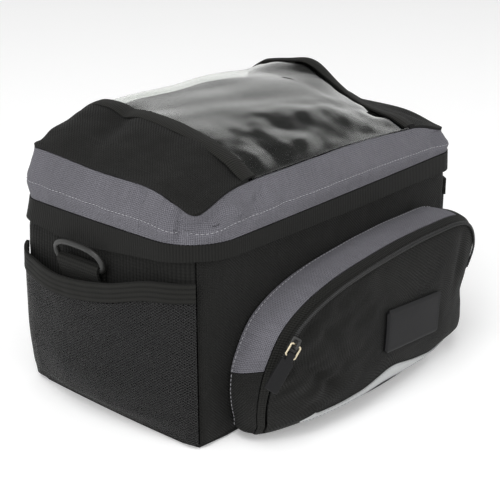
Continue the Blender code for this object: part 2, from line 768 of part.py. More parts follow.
def pocket_point(u, w):
    """The front pocket's skin, from the wall seam, over the gusset edge and the zip line, to its middle."""
    across, up, depth, forward, draw_in, fill = (station_value(c, u) for c in Station._fields)
    x = POCKET_OFFSET + across * POCKET_HALF_WIDTH
    z = BASE_THICKNESS + up * (POCKET_HEIGHT - BASE_THICKNESS)
    seam = Vector((x, wall_at("front", x, z).y - SEAM_SEAT, z))
    middle = Vector((POCKET_OFFSET, 0.0, POCKET_MIDDLE))
    middle.y = wall_at("front", middle.x, middle.z).y - POCKET_FRONT_DEPTH
    outward = Vector((x - middle.x, 0.0, z - middle.z)).normalized()
    edge = seam + Vector((0.0, -depth * POCKET_DEPTH, 0.0)) + outward * GUSSET_PUFF * 0.5
    if w <= EDGE:
        puff = GUSSET_PUFF * math.sin(math.pi * max(0.0, w)) * (1.0 if up > 0.05 else 0.0)
        return seam.lerp(edge, w) + outward * puff
    line = edge + Vector((draw_in * (middle.x - x), -forward * POCKET_DEPTH, draw_in * (middle.z - z)))
    if w <= ZIP_LINE:
        return edge.lerp(line, w - EDGE)
    share = min(1.0, w - ZIP_LINE)
    point = line.lerp(middle, share)
    point.y = lerp(line.y, middle.y, 1.0 - (1.0 - share) ** fill)
    folds = fold_depth(
        POCKET_FOLDS, point.x - POCKET_OFFSET, point.z, POCKET_HALF_WIDTH, POCKET_HEIGHT, POCKET_HEIGHT
    )
    point.y += POCKET_DEPTH * folds * smoothstep(0.0, 0.18, share)
    return point


def pocket_normal(surface, u, v):
    """The pocket's normal, eased over its seams so that neighbouring walls are mitred."""
    return -normal_at(surface, u, v, 0.02, 0.09)


def band_share(u, w, part_from, part_to, clearance):
    """A place between two lines of the pocket's skin, kept clear of both."""
    length = (pocket_point(u, part_to) - pocket_point(u, part_from)).length
    slack = clearance / length
    return part_from + slack + (part_to - part_from - 2.0 * slack) * w


def lean_over(u, w):
    """A station moved along near the grey part's lower left end, more the nearer it is to the edge."""
    half = len(POCKET_STATIONS) / 2.0
    away = abs((u - GREY_FROM + half) % (2.0 * half) - half)
    return u + GREY_LEAN * min(EDGE, w) * max(0.0, 1.0 - away)


def pocket_band(name, us, rows, part_from, part_to, material, closed=False):
    """A strip of the front pocket's wall between two of its lines."""

    def place(u, v):
        return band_share(lean_over(u, EDGE), v, part_from, part_to, GAP)

    def point(u, v):
        return pocket_point(lean_over(u, place(u, v)), place(u, v))

    def normal(surface, u, v):
        return pocket_normal(pocket_point, lean_over(u, place(u, v)), place(u, v))

    vs = spread(0.0, 1.0, rows)
    sheet(name, point, us, vs, 0.0, -POCKET_WALL, material, closed=closed, normal=normal)


def gusset_columns(first, last):
    """Columns between two ends of a part of the gusset, and the ends a little inside them."""
    steps = [pocket_point(u + 0.5, SEAM) - pocket_point(u - 0.5, SEAM) for u in (first, last)]
    slack = [GAP / step.length for step in steps]
    inner = range(math.ceil(RING_SPLIT * first + 0.2), math.floor(RING_SPLIT * last - 0.2) + 1)
    return [first + slack[0]] + [k / RING_SPLIT for k in inner] + [last - slack[1]]


def build_front_pocket():
    """The zipped front pocket: a two-colour gusset, the zip's tape, the zip, and a domed front."""
    count = len(POCKET_STATIONS)
    grey, black = gusset_columns(GREY_FROM, GREY_TO), gusset_columns(GREY_TO, GREY_FROM + count)
    pocket_band("pocket_gusset_grey", grey, 3, SEAM, EDGE, "grey_cloth")
    pocket_band("pocket_gusset_black", black, 3, SEAM, EDGE, "black_cloth")
    ring = spread(0.0, count, RING_SPLIT * count)[:-1]
    pocket_band("pocket_zip_tape", ring, 2, EDGE, ZIP_LINE, "black_tape", closed=True)
    leaned = [lean_over(u, EDGE) for u in ring]
    slack = GAP / (POCKET_HEIGHT / 2.0)
    inward = [ZIP_LINE + slack, 2.03, 2.08, 2.16, 2.28, 2.52, MIDDLE]
    disc_sheet(
        "pocket_front_panel", pocket_point, leaned, inward, 0.0, -POCKET_WALL, "black_cloth", pocket_normal
    )
    build_zip()
    build_strip()
    build_label()


def line_offset(u, distance):
    """The place on the pocket's skin this far from its zip line, in metres towards the middle."""
    if distance < 0.0:
        return ZIP_LINE + distance / (pocket_point(u, ZIP_LINE) - pocket_point(u, EDGE)).length
    place, run = ZIP_LINE, 0.0
    point, length = pocket_point(u, place), 1.0
    while run < distance:
        place += LINE_STEP
        further = pocket_point(u, place)
        length = (further - point).length
        run += length
        point = further
    return place - LINE_STEP * (run - distance) / length


def strip_on_line(name, us, middle, width, thickness, material):
    """A thin strip on the pocket's skin, whose middle runs at a distance from the zip line."""

    def place(u, v):
        return line_offset(u, middle(u) + width * (v - 0.5))

    def point(u, v):
        return pocket_point(u, place(u, v))

    def normal(surface, u, v):
        return pocket_normal(pocket_point, u, place(u, v))

    rows = spread(0.0, 1.0, 3)
    return sheet(name, point, us, rows, GAP + thickness, GAP, material, normal=normal)


def pull_axes():
    """Where the slider sits on the zip, and the zip's, the sideways and the outward directions there."""
    place = pocket_point(SLIDER_AT, ZIP_LINE)
    normal = pocket_normal(pocket_point, SLIDER_AT, ZIP_LINE)
    down = (pocket_point(SLIDER_AT - 0.2, ZIP_LINE) - pocket_point(SLIDER_AT + 0.2, ZIP_LINE)).normalized()
    down = (down - normal * down.dot(normal)).normalized()
    return place, down, normal.cross(down), normal


def place_on(obj, origin, x_axis, y_axis, z_axis):
    """Puts an object at a point with its axes along these directions."""
    rows = [[x_axis[i], y_axis[i], z_axis[i], origin[i]] for i in range(3)]
    obj.matrix_world = Matrix(rows + [[0.0, 0.0, 0.0, 1.0]])


def cross_bore(name, diameter, length):
    """A guide that bores along its own Y."""
    bm = bmesh.new()
    bmesh.ops.create_cone(
        bm, cap_ends=True, segments=20, radius1=diameter / 2.0, radius2=diameter / 2.0, depth=length
    )
    bmesh.ops.rotate(bm, verts=bm.verts, matrix=Matrix.Rotation(math.pi / 2.0, 3, "X"))
    guide = finish_mesh(name, bm, "black_plastic")
    guide.hide_render = True
    guide.display_type = "WIRE"
    return guide


def join_or_cut(obj, other, operation):
    """Adds an exact Boolean of this kind to the object."""
    step = obj.modifiers.new(operation.title(), "BOOLEAN")
    step.operation = operation
    step.solver = "EXACT"
    step.object = other


def build_zip():
    """The zip's teeth, its slider with a bored bridge, the wire loop in it, and the rubber pull."""
    us = spread(ZIP_FROM, ZIP_TO, 20)
    strip_on_line("zip_chain", us, lambda u: 0.0, ZIP_WIDTH, ZIP_THICKNESS, "black_plastic")
    place, down, across, normal = pull_axes()
    wire = PULL_WIRE / 2.0
    bore = PULL_WIRE + 2.0 * GAP
    base = place + normal * (3.0 * GAP + ZIP_THICKNESS + SLIDER_THICKNESS / 2.0)
    slider_size = (SLIDER_LENGTH, SLIDER_WIDTH, SLIDER_THICKNESS)
    slider = box_mesh("zip_slider", slider_size, "black_plastic", SLIDER_BEVEL)
    bridge_size = (BRIDGE_LENGTH, BRIDGE_WIDTH, BRIDGE_BORES * bore)
    bridge = box_mesh("bridge_guide", bridge_size, "black_plastic", BRIDGE_BEVEL)
    bridge.hide_render = True
    bridge.display_type = "WIRE"
    lift = SLIDER_THICKNESS / 2.0 + BORE_LIFT * bore
    place_on(slider, base, down, across, normal)
    place_on(bridge, base + normal * (lift - bore / 2.0), down, across, normal)
    guide = cross_bore("bridge_bore_guide", bore, SLIDER_WIDTH)
    join_or_cut(slider, bridge, "UNION")
    join_or_cut(slider, guide, "DIFFERENCE")
    hub = base + normal * lift
    place_on(guide, hub, down, across, normal)
    half, corner = PULL_WIDTH / 2.0 - wire, 1.6 * wire
    length = PULL_LENGTH - PULL_WIRE
    points = []
    for along, side, start in ((0.0, 1.0, 0.5), (0.0, -1.0, 1.0), (1.0, -1.0, 1.5), (1.0, 1.0, 2.0)):
        centre_x = lerp(corner, length - corner, along)
        centre_y = side * (half - corner)
        for angle in spread(start * math.pi, (start + 0.5) * math.pi, 4):
            points.append((centre_x + corner * math.cos(angle), centre_y + corner * math.sin(angle), 0.0))
    loop = round_wire("pull_loop", points, PULL_WIRE, "brass_wire")
    place_on(loop, hub, down, across, normal)
    build_pull_tab(hub + down * length, down, across, normal, bore)


def build_pull_tab(hub, down, across, normal, bore):
    """The bare rubber pull, whose bored neck sits on the loop's lower bar."""
    back = NECK_LENGTH / 2.0
    half, neck = TAB_WIDTH / 2.0, NECK_WIDTH / 2.0
    outline = [
        (-back, -neck), (back, -neck), (back + NECK_SHOULDER, -half), (TAB_LENGTH, -half),
        (TAB_LENGTH, half), (back + NECK_SHOULDER, half), (back, neck), (-back, neck),
    ]
    bm = bmesh.new()
    bottom = [bm.verts.new((x, y, -TAB_THICKNESS / 2.0)) for x, y in outline]
    cap = bm.faces.new(bottom)
    grown = bmesh.ops.extrude_face_region(bm, geom=[cap])["geom"]
    lifted = [item for item in grown if isinstance(item, bmesh.types.BMVert)]
    bmesh.ops.translate(bm, vec=(0.0, 0.0, TAB_THICKNESS), verts=lifted)
    tab = finish_mesh("pull_tab", bm, "black_rubber")
    rounding = tab.modifiers.new("Rounded edges", "BEVEL")
    rounding.width = TAB_BEVEL
    rounding.segments = 2
    rounding.limit_method = "ANGLE"
    place_on(tab, hub, down, across, normal)
    guide = cross_bore("neck_bore_guide", bore, TAB_WIDTH)
    place_on(guide, hub, down, across, normal)
    join_or_cut(tab, guide, "DIFFERENCE")


def build_strip():
    """The reflective strip along the front's lower edge, higher towards its left end."""

    def middle(u):
        share = (u - STRIP_FROM) / (STRIP_TO - STRIP_FROM)
        return lerp(STRIP_LINE_RIGHT, STRIP_LINE_LEFT, share) + STRIP_WIDTH / 2.0

    us = spread(STRIP_FROM, STRIP_TO, 13)
    strip_on_line("reflective_strip", us, middle, STRIP_WIDTH, STRIP_THICKNESS, "reflective_grey")


def build_label():
    """The bare rubber label on the right of the pocket's front, bent to it."""
    turn = math.radians(LABEL_TILT)
    bearings = zip_line_bearings()

    def point(u, v):
        along, up = u * LABEL_WIDTH / 2.0, v * LABEL_HEIGHT / 2.0
        x = LABEL_PLACE + along * math.cos(turn) - up * math.sin(turn)
        z = LABEL_HEIGHT_PLACE + along * math.sin(turn) + up * math.cos(turn)
        return front_skin(bearings, x, z)

    us, vs = spread(-1.0, 1.0, 8), spread(-1.0, 1.0, 4)
    top = LABEL_SEAT + LABEL_THICKNESS
    sheet("rubber_label", point, us, vs, top, LABEL_SEAT, "black_rubber", normal=label_normal)


def label_normal(surface, u, v):
    """The label's normal, from wide steps."""
    return normal_at(surface, u, v, 0.05, 0.05)


def zip_line_bearings():
    """The zip line's bearing from the pocket's middle and its distance, at every eighth of a station."""
    rows = []
    for u in spread(0.0, len(POCKET_STATIONS), len(POCKET_STATIONS) * 8)[:-1]:
        line = pocket_point(u, ZIP_LINE)
        dx, dz = line.x - POCKET_OFFSET, line.z - POCKET_MIDDLE
        rows.append((math.atan2(dz, dx), u, math.hypot(dx, dz)))
    return sorted(rows)


def front_skin(bearings, x, z):
    """The front panel's point at this X and Z."""
    dx, dz = x - POCKET_OFFSET, z - POCKET_MIDDLE
    angle = math.atan2(dz, dx)
    count, turn = len(POCKET_STATIONS), 2.0 * math.pi
    i = sum(1 for row in bearings if row[0] < angle)
    low, high = bearings[i - 1], bearings[i % len(bearings)]
    part = ((angle - low[0]) % turn) / ((high[0] - low[0]) % turn)
    step = (high[1] - low[1] + count / 2.0) % count - count / 2.0
    share = 1.0 - math.hypot(dx, dz) / lerp(low[2], high[2], part)
    return pocket_point(low[1] + part * step, ZIP_LINE + min(1.0, max(0.0, share)))


def build_adapter():
    """A plain plate riveted flat to the back, with a block whose slot takes a handlebar clip."""
    seat = GAP + max(
        wall_at("back", across * PLATE_WIDTH, PLATE_CENTRE + up * PLATE_HEIGHT).y
        for across in (0.0, 0.5)
        for up in (-0.5, 0.0, 0.5)
    )
    plate = box_mesh(
        "mount_plate", (PLATE_WIDTH, PLATE_THICKNESS, PLATE_HEIGHT), "black_plastic", PLATE_BEVEL
    )
    plate.location = (0.0, seat + PLATE_THICKNESS / 2.0, PLATE_CENTRE)
    block = box_mesh(
        "mount_block", (BLOCK_WIDTH, BLOCK_THICKNESS, BLOCK_HEIGHT), "black_plastic", PLATE_BEVEL
    )
    block.location = (0.0, seat + PLATE_THICKNESS + GAP + BLOCK_THICKNESS / 2.0, PLATE_CENTRE)
    slot_size = (SLOT_WIDTH, 2.0 * SLOT_DEPTH, SLOT_HEIGHT)
    guide = box_mesh("slot_guide", slot_size, "black_plastic", SLOT_BEVEL)
    guide.location = block.location + Vector((0.0, BLOCK_THICKNESS / 2.0, 0.0))
    guide.hide_render = True
    guide.display_type = "WIRE"
    join_or_cut(block, guide, "DIFFERENCE")


def centre_on_floor():
    """Moves everything so that the middle of its footprint is the origin."""
    bpy.context.view_layer.update()
    graph = bpy.context.evaluated_depsgraph_get()
    lows, highs = [1.0, 1.0], [-1.0, -1.0]
    for obj in bpy.data.objects:
        if obj.hide_render:
            continue
        shown = obj.evaluated_get(graph)
        mesh = shown.to_mesh()
        for vertex in mesh.vertices:
            point = shown.matrix_world @ vertex.co
            for axis in (0, 1):
                lows[axis] = min(lows[axis], point[axis])
                highs[axis] = max(highs[axis], point[axis])
        shown.to_mesh_clear()
    shift = Vector(((lows[0] + highs[0]) / 2.0, (lows[1] + highs[1]) / 2.0, 0.0))
    for obj in bpy.data.objects:
        obj.location -= shift


def main():
    """Builds every piece."""
    for obj in list(bpy.data.objects):
        bpy.data.objects.remove(obj)
    build_body()
    build_lid()
    build_side_pockets()
    build_rings()
    build_front_pocket()
    build_adapter()
    centre_on_floor()


main()
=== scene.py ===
"""Dresses the bicycle handlebar bag: woven cloth with folds, a clear map window, net side pockets,
stitched seams, zips, rings and pulls, on a pale floor in soft studio light.

Every piece is built in metres in the row frame, from the same named sizes as the CAD solids it stands for.
"""

from __future__ import annotations

import json
import logging
import math
from collections import namedtuple
from collections.abc import Callable, Sequence
from dataclasses import dataclass, field
from enum import Enum

import bmesh
import bpy
import numpy as np
from mathutils import Matrix, Vector, noise

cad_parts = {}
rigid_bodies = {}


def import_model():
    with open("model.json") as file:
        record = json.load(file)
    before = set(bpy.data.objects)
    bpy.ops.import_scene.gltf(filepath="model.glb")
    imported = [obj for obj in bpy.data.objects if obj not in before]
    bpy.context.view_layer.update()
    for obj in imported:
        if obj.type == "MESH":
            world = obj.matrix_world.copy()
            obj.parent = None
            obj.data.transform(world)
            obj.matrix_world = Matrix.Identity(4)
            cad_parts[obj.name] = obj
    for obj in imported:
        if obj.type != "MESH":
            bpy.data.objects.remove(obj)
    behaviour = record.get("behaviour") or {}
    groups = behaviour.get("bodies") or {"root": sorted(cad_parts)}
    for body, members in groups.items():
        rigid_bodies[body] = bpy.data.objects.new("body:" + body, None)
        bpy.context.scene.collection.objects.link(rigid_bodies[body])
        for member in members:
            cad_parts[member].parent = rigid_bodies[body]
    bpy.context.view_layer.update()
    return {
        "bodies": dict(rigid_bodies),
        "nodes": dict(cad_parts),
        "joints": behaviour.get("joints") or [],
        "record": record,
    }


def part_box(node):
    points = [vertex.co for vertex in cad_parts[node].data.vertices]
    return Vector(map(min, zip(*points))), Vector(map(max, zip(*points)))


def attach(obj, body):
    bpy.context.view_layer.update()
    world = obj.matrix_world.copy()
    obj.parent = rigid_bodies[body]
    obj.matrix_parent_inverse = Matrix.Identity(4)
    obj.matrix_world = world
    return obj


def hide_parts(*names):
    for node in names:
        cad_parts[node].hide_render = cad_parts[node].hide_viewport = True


LOG = logging.getLogger("bag")
Surface = Callable[[float, float], Vector]
Relief = Callable[[float, float, Vector], float]

# Gap between pieces that meet, in metres.
GAP = 0.0004
# How strongly coated cloth and tape mirror.
CLOTH_SPECULAR = 0.16

BandRow = namedtuple("BandRow", "rise out")
SagRow = namedtuple("SagRow", "up sag")
Corner = namedtuple("Corner", "side_x side_y radius dip")
CrownRow = namedtuple("CrownRow", "place rise")
SkirtRow = namedtuple("SkirtRow", "station drop")
Fold = namedtuple("Fold", "across back heading length width depth")
HemRow = namedtuple("HemRow", "along sag bulge")
MeshRow = namedtuple("MeshRow", "up bulge")
Station = namedtuple("Station", "across up depth forward draw_in fill")
StationSeat = namedtuple("StationSeat", "seam edge line middle outward fill low")


class Side(Enum):
    """A side of the body, counter-clockwise seen from above."""

    FRONT = 0
    RIGHT = 1
    BACK = 2
    LEFT = 3


class Direction(Enum):
    """Which way a tape's ribs run."""

    ACROSS = 0
    ALONG = 1


def lerp(a: float, b: float, share: float) -> float:
    """The value that share of the way from a to b."""
    return a + (b - a) * share


def clamp(value: float) -> float:
    """The value kept between 0 and 1."""
    return min(1.0, max(0.0, value))


def smoothstep(low: float, high: float, value: float) -> float:
    """0 below low, 1 above high, and a smooth rise between them."""
    share = clamp((value - low) / (high - low))
    return share * share * (3.0 - 2.0 * share)


def spread(low: float, high: float, count: int) -> list[float]:
    """count + 1 values evenly spaced from low to high."""
    return [lerp(low, high, i / count) for i in range(count + 1)]


def catmull(p0: float, p1: float, p2: float, p3: float, t: float) -> float:
    """A smooth curve through p1 (t = 0) and p2 (t = 1)."""
    return 0.5 * (
        2.0 * p1
        + (p2 - p0) * t
        + (2.0 * p0 - 5.0 * p1 + 4.0 * p2 - p3) * t * t
        + (3.0 * p1 - p0 - 3.0 * p2 + p3) * t * t * t
    )


def read_row(rows: Sequence, column: str, key_column: str, key: float) -> float:
    """A column of a table at a key between its rows.

    Args:
        rows: The table, in the order of its key.
        column: The column to read.
        key_column: The column that holds the key.
        key: Where to read.

    Returns:
        The value there, on a smooth curve through the rows.
    """
    last = len(rows) - 1
    i = 0
    while i < last - 1 and key > getattr(rows[i + 1], key_column):
        i += 1
    low, high = getattr(rows[i], key_column), getattr(rows[i + 1], key_column)
    values = [getattr(rows[min(last, max(0, i + k))], column) for k in (-1, 0, 1, 2)]
    return catmull(*values, clamp((key - low) / (high - low)))


def fold_depth(
    folds: Sequence[Fold], across: float, up: float, half_across: float, half_up: float, unit: float
) -> float:
    """How deep the folds are at a point, as a share of their own measure.

    Args:
        folds: The folds, placed in shares of the two half sizes.
        across: The point's first coordinate, in metres.
        up: The point's second coordinate, in metres.
        half_across: What a fold's across is a share of.
        half_up: What a fold's back is a share of.
        unit: What a fold's length and width are shares of.

    Returns:
        The summed depth there.
    """
    total = 0.0
    for fold in folds:
        dx = across - fold.across * half_across
        dy = up - fold.back * half_up
        angle = math.radians(fold.heading)
        along = (dx * math.cos(angle) + dy * math.sin(angle)) / (fold.length * unit)
        beside = (dy * math.cos(angle) - dx * math.sin(angle)) / (fold.width * unit)
        total += fold.depth * math.exp(-along * along - beside * beside)
    return total


def ripple(point: Vector, size: float, seed: float) -> float:
    """Smooth noise between about -1 and 1, with features of that size in metres."""
    return noise.noise(point / size + Vector((seed, seed * 1.7, -seed)))


@dataclass(frozen=True)
class Waves:
    """Smooth unevenness of a cloth.

    Attributes:
        height: Its greatest height, in metres.
        size: The size of its features.
        seed: Which pattern it takes.
    """

    height: float
    size: float
    seed: float

    def at(self, point: Vector) -> float:
        """The height at a point."""
        return self.height * ripple(point, self.size, self.seed)


@dataclass(frozen=True)
class BodyShape:
    """The body's outer wall: a rounded outline that flares from base to rim.

    Attributes:
        base: Width, depth and corner radius at the base.
        rim: Width, depth and largest corner radius at the rim.
        height: Height of the rim.
        side_bow: How far the ends bow out in their middle.
        front_bow: How far the front bows out in its middle.
        back_sag: How far the back corners sag outward.
        floor: Thickness of the base panel.
        corners: Each corner's share of the rim's radius, and how far the lid dips there.
        sag_rows: The share of the sag at each height.
    """

    base: tuple[float, float, float] = (0.274, 0.154, 0.008)
    rim: tuple[float, float, float] = (0.280, 0.160, 0.034)
    height: float = 0.1365
    side_bow: float = 0.0040
    front_bow: float = 0.0025
    back_sag: float = 0.0095
    floor: float = 0.0030
    corners: tuple[Corner, ...] = (
        Corner(-1, -1, 1.00, 0.0105),
        Corner(1, -1, 0.50, 0.0085),
        Corner(1, 1, 0.55, 0.0030),
        Corner(-1, 1, 0.50, 0.0010),
    )
    sag_rows: tuple[SagRow, ...] = (
        SagRow(0.00, 0.70),
        SagRow(0.12, 0.92),
        SagRow(0.40, 1.00),
        SagRow(0.85, 0.60),
        SagRow(1.00, 0.00),
    )

    def outline(
        self, side: Side, along: float, half_w: float, half_d: float, radii: Sequence[float]
    ) -> tuple[float, float]:
        """A point of a rounded rectangle with a radius for each corner.

        Args:
            side: The side that the point is on.
            along: -1 at the side's first corner seam to 1 at its last.
            half_w: Half the outline's width.
            half_d: Half its depth.
            radii: The four corners' radii.

        Returns:
            The point's X and Y.
        """
        long_side = side in (Side.FRONT, Side.BACK)
        half, reach = (half_w, half_d) if long_side else (half_d, half_w)
        radius = radii[side.value] if along < 0.0 else radii[(side.value + 1) % 4]
        straight = half - radius
        run = abs(along) * (straight + radius * math.pi / 4.0)
        if run <= straight:
            u, v = run, reach
        else:
            angle = (run - straight) / radius
            u = straight + radius * math.sin(angle)
            v = reach - radius * (1.0 - math.cos(angle))
        u = math.copysign(u, along)
        turned = {Side.FRONT: (u, -v), Side.RIGHT: (v, u), Side.BACK: (-u, v), Side.LEFT: (-v, -u)}
        return turned[side]

    def bow_out(self, x: float, y: float, half_w: float, half_d: float, amount: float) -> tuple[float, float]:
        """Pushes the middle of the ends, and of the front, outward by a share of their bow."""
        bow = self.side_bow * amount * (1.0 - (y / half_d) ** 2) * (x / half_w) ** 2
        bowed_y = y
        if y < 0.0:
            bowed_y -= self.front_bow * amount * (1.0 - ((x + math.copysign(bow, x)) / half_w) ** 2) * (
                y / half_d
            ) ** 2
        return x + math.copysign(bow, x), bowed_y

    def wall(self, side: Side, along: float, height: float, out: float = 0.0) -> Vector:
        """A point of the outer wall, or out metres outside it."""
        share = clamp(height / self.height)
        half_w = lerp(self.base[0], self.rim[0], share) / 2.0 + out
        half_d = lerp(self.base[1], self.rim[1], share) / 2.0 + out
        radii = [lerp(self.base[2], self.rim[2] * c.radius, share**1.3) + out for c in self.corners]
        x, y = self.outline(side, along, half_w, half_d, radii)
        belly = 0.35 + 0.65 * math.sin(math.pi * min(1.0, share + 0.08))
        x, y = self.bow_out(x, y, half_w, half_d, belly)
        sag = self.back_sag * read_row(self.sag_rows, "sag", "up", share)
        y += sag * smoothstep(0.0, half_d, y) * (x / half_w) ** 4
        return Vector((x, y, height))

    def wall_at(self, side: Side, place: float, height: float) -> Vector:
        """The outer wall's point at this X on the front or back, or at this Y on an end."""
        low, high = -1.0, 1.0
        axis = 0 if side in (Side.FRONT, Side.BACK) else 1
        turn = 1 if side in (Side.FRONT, Side.RIGHT) else -1
        middle = 0.0
        for _ in range(26):
            middle = (low + high) / 2.0
            if turn * (self.wall(side, middle, height)[axis] - place) < 0.0:
                low = middle
            else:
                high = middle
        return self.wall(side, middle, height)

    def ring(self, u: float, height: float, out: float = 0.0) -> Vector:
        """A point round the whole wall, where whole values of u are the corner seams."""
        whole = math.floor(u)
        return self.wall(Side(whole % 4), 2.0 * (u - whole) - 1.0, height, out)


@dataclass(frozen=True)
class LidShape:
    """The lid: its leaning band, the skirt below, and the crowned top."""

    body: BodyShape
    band_height: float = 0.0290
    back_rise: float = 0.0050
    right_drop: float = 0.0065
    inset: float = 0.0055
    top_radius: float = 0.0060
    corner_spread: float = 0.024
    top_seat: float = 0.0010
    crown: float = 0.0270
    puff: float = 0.0030
    reach: float = 0.087
    skirt_drop: float = 0.0135
    skirt_flare: float = 0.0008
    band: tuple[BandRow, ...] = (
        BandRow(0.00, 0.0010),
        BandRow(0.35, 0.0022),
        BandRow(0.70, -0.0020),
        BandRow(1.00, -0.0055),
    )
    crown_back: tuple[CrownRow, ...] = (
        CrownRow(-1.00, 0.00),
        CrownRow(-0.80, 0.36),
        CrownRow(-0.52, 0.68),
        CrownRow(-0.10, 0.95),
        CrownRow(0.35, 1.00),
        CrownRow(0.75, 0.90),
        CrownRow(0.93, 0.56),
        CrownRow(1.00, 0.00),
    )
    crown_across: tuple[CrownRow, ...] = (
        CrownRow(-1.00, 0.00),
        CrownRow(-0.88, 0.44),
        CrownRow(-0.68, 0.86),
        CrownRow(-0.31, 0.82),
        CrownRow(0.05, 0.80),
        CrownRow(0.41, 0.92),
        CrownRow(0.62, 1.14),
        CrownRow(0.74, 0.86),
        CrownRow(0.88, 0.18),
        CrownRow(1.00, 0.00),
    )
    skirt_rows: tuple[SkirtRow, ...] = (
        SkirtRow(0.00, 0.75),
        SkirtRow(0.50, 0.95),
        SkirtRow(1.00, 1.05),
        SkirtRow(1.50, 1.20),
        SkirtRow(2.50, 1.00),
        SkirtRow(3.00, 1.10),
        SkirtRow(3.35, 1.40),
        SkirtRow(3.70, 1.05),
        SkirtRow(4.00, 0.75),
    )
    folds: tuple[Fold, ...] = (
        Fold(-0.80, 0.34, 12.0, 0.34, 0.115, 0.20),
        Fold(-0.86, -0.30, 35.0, 0.30, 0.13, 0.10),
        Fold(0.70, -0.55, 75.0, 0.60, 0.40, 0.70),
        Fold(0.55, 0.85, 0.0, 0.35, 0.30, 0.16),
        Fold(0.66, 0.20, 0.0, 0.16, 0.20, -0.20),
    )

    def half_sizes(self) -> tuple[float, float]:
        """Half the width and half the depth of the lid's top."""
        return self.body.rim[0] / 2.0 - self.inset, self.body.rim[1] / 2.0 - self.inset

    def rim_height(self, x: float, y: float) -> float:
        """The height of the seam between band and top."""
        half_w, half_d = self.half_sizes()
        height = self.body.height + self.band_height
        height += self.back_rise * smoothstep(0.0, self.body.rim[1] / 2.0, y)
        height -= self.right_drop * smoothstep(0.0, self.body.rim[0] / 2.0, x)
        for corner in self.body.corners:
            dx, dy = x - corner.side_x * half_w, y - corner.side_y * half_d
            height -= corner.dip * math.exp(-(dx * dx + dy * dy) / self.corner_spread**2)
        return height

    def band_point(self, u: float, v: float) -> Vector:
        """The band's outer face, from the rim (v = 0) to the top's edge (v = 1)."""
        out = read_row(self.band, "out", "rise", v)
        half_w, half_d = self.body.rim[0] / 2.0 + out, self.body.rim[1] / 2.0 + out
        radii = [lerp(self.body.rim[2] * c.radius, self.top_radius, v * v) for c in self.body.corners]
        whole = math.floor(u)
        x, y = self.body.outline(Side(whole % 4), 2.0 * (u - whole) - 1.0, half_w, half_d, radii)
        x, y = self.body.bow_out(x, y, half_w, half_d, 0.35 * (1.0 - v))
        low = self.body.height + GAP
        return Vector((x, y, lerp(low, self.rim_height(x, y) + self.top_seat - GAP, v)))

    def skirt_point(self, u: float, v: float) -> Vector:
        """The skirt's inner face, from its hanging edge (v = 0) to the rim (v = 1)."""
        drop = self.skirt_drop * read_row(self.skirt_rows, "drop", "station", u % 4.0)
        return self.body.ring(u, self.body.height - drop * (1.0 - v), GAP + self.skirt_flare * (1.0 - v))

    def top_point(self, u: float, v: float) -> Vector:
        """The top, from end to end (u) and front to back (v), both -1 to 1."""
        half_w, half_d = self.half_sizes()
        radius = self.top_radius
        x, y = u * half_w, v * half_d
        over_x = (abs(x) - half_w + radius) / radius
        over_y = (abs(y) - half_d + radius) / radius
        if over_x > 0.0 and over_y > 0.0:
            round_x = over_x * math.sqrt(max(0.0, 1.0 - over_y**2 / 2.0))
            round_y = over_y * math.sqrt(max(0.0, 1.0 - over_x**2 / 2.0))
            x = math.copysign(half_w + radius * (round_x - 1.0), x)
            y = math.copysign(half_d + radius * (round_y - 1.0), y)
        back = read_row(self.crown_back, "rise", "place", v)
        rise = back * read_row(self.crown_across, "rise", "place", u)
        lift = self.crown * rise * (1.0 - fold_depth(self.folds, x, y, half_w, half_d, half_d))
        inside = max(0.0, 1.0 - (x / self.reach) ** 2)
        return Vector((x, y, self.rim_height(x, y) + lift + self.puff * inside**2 * back))


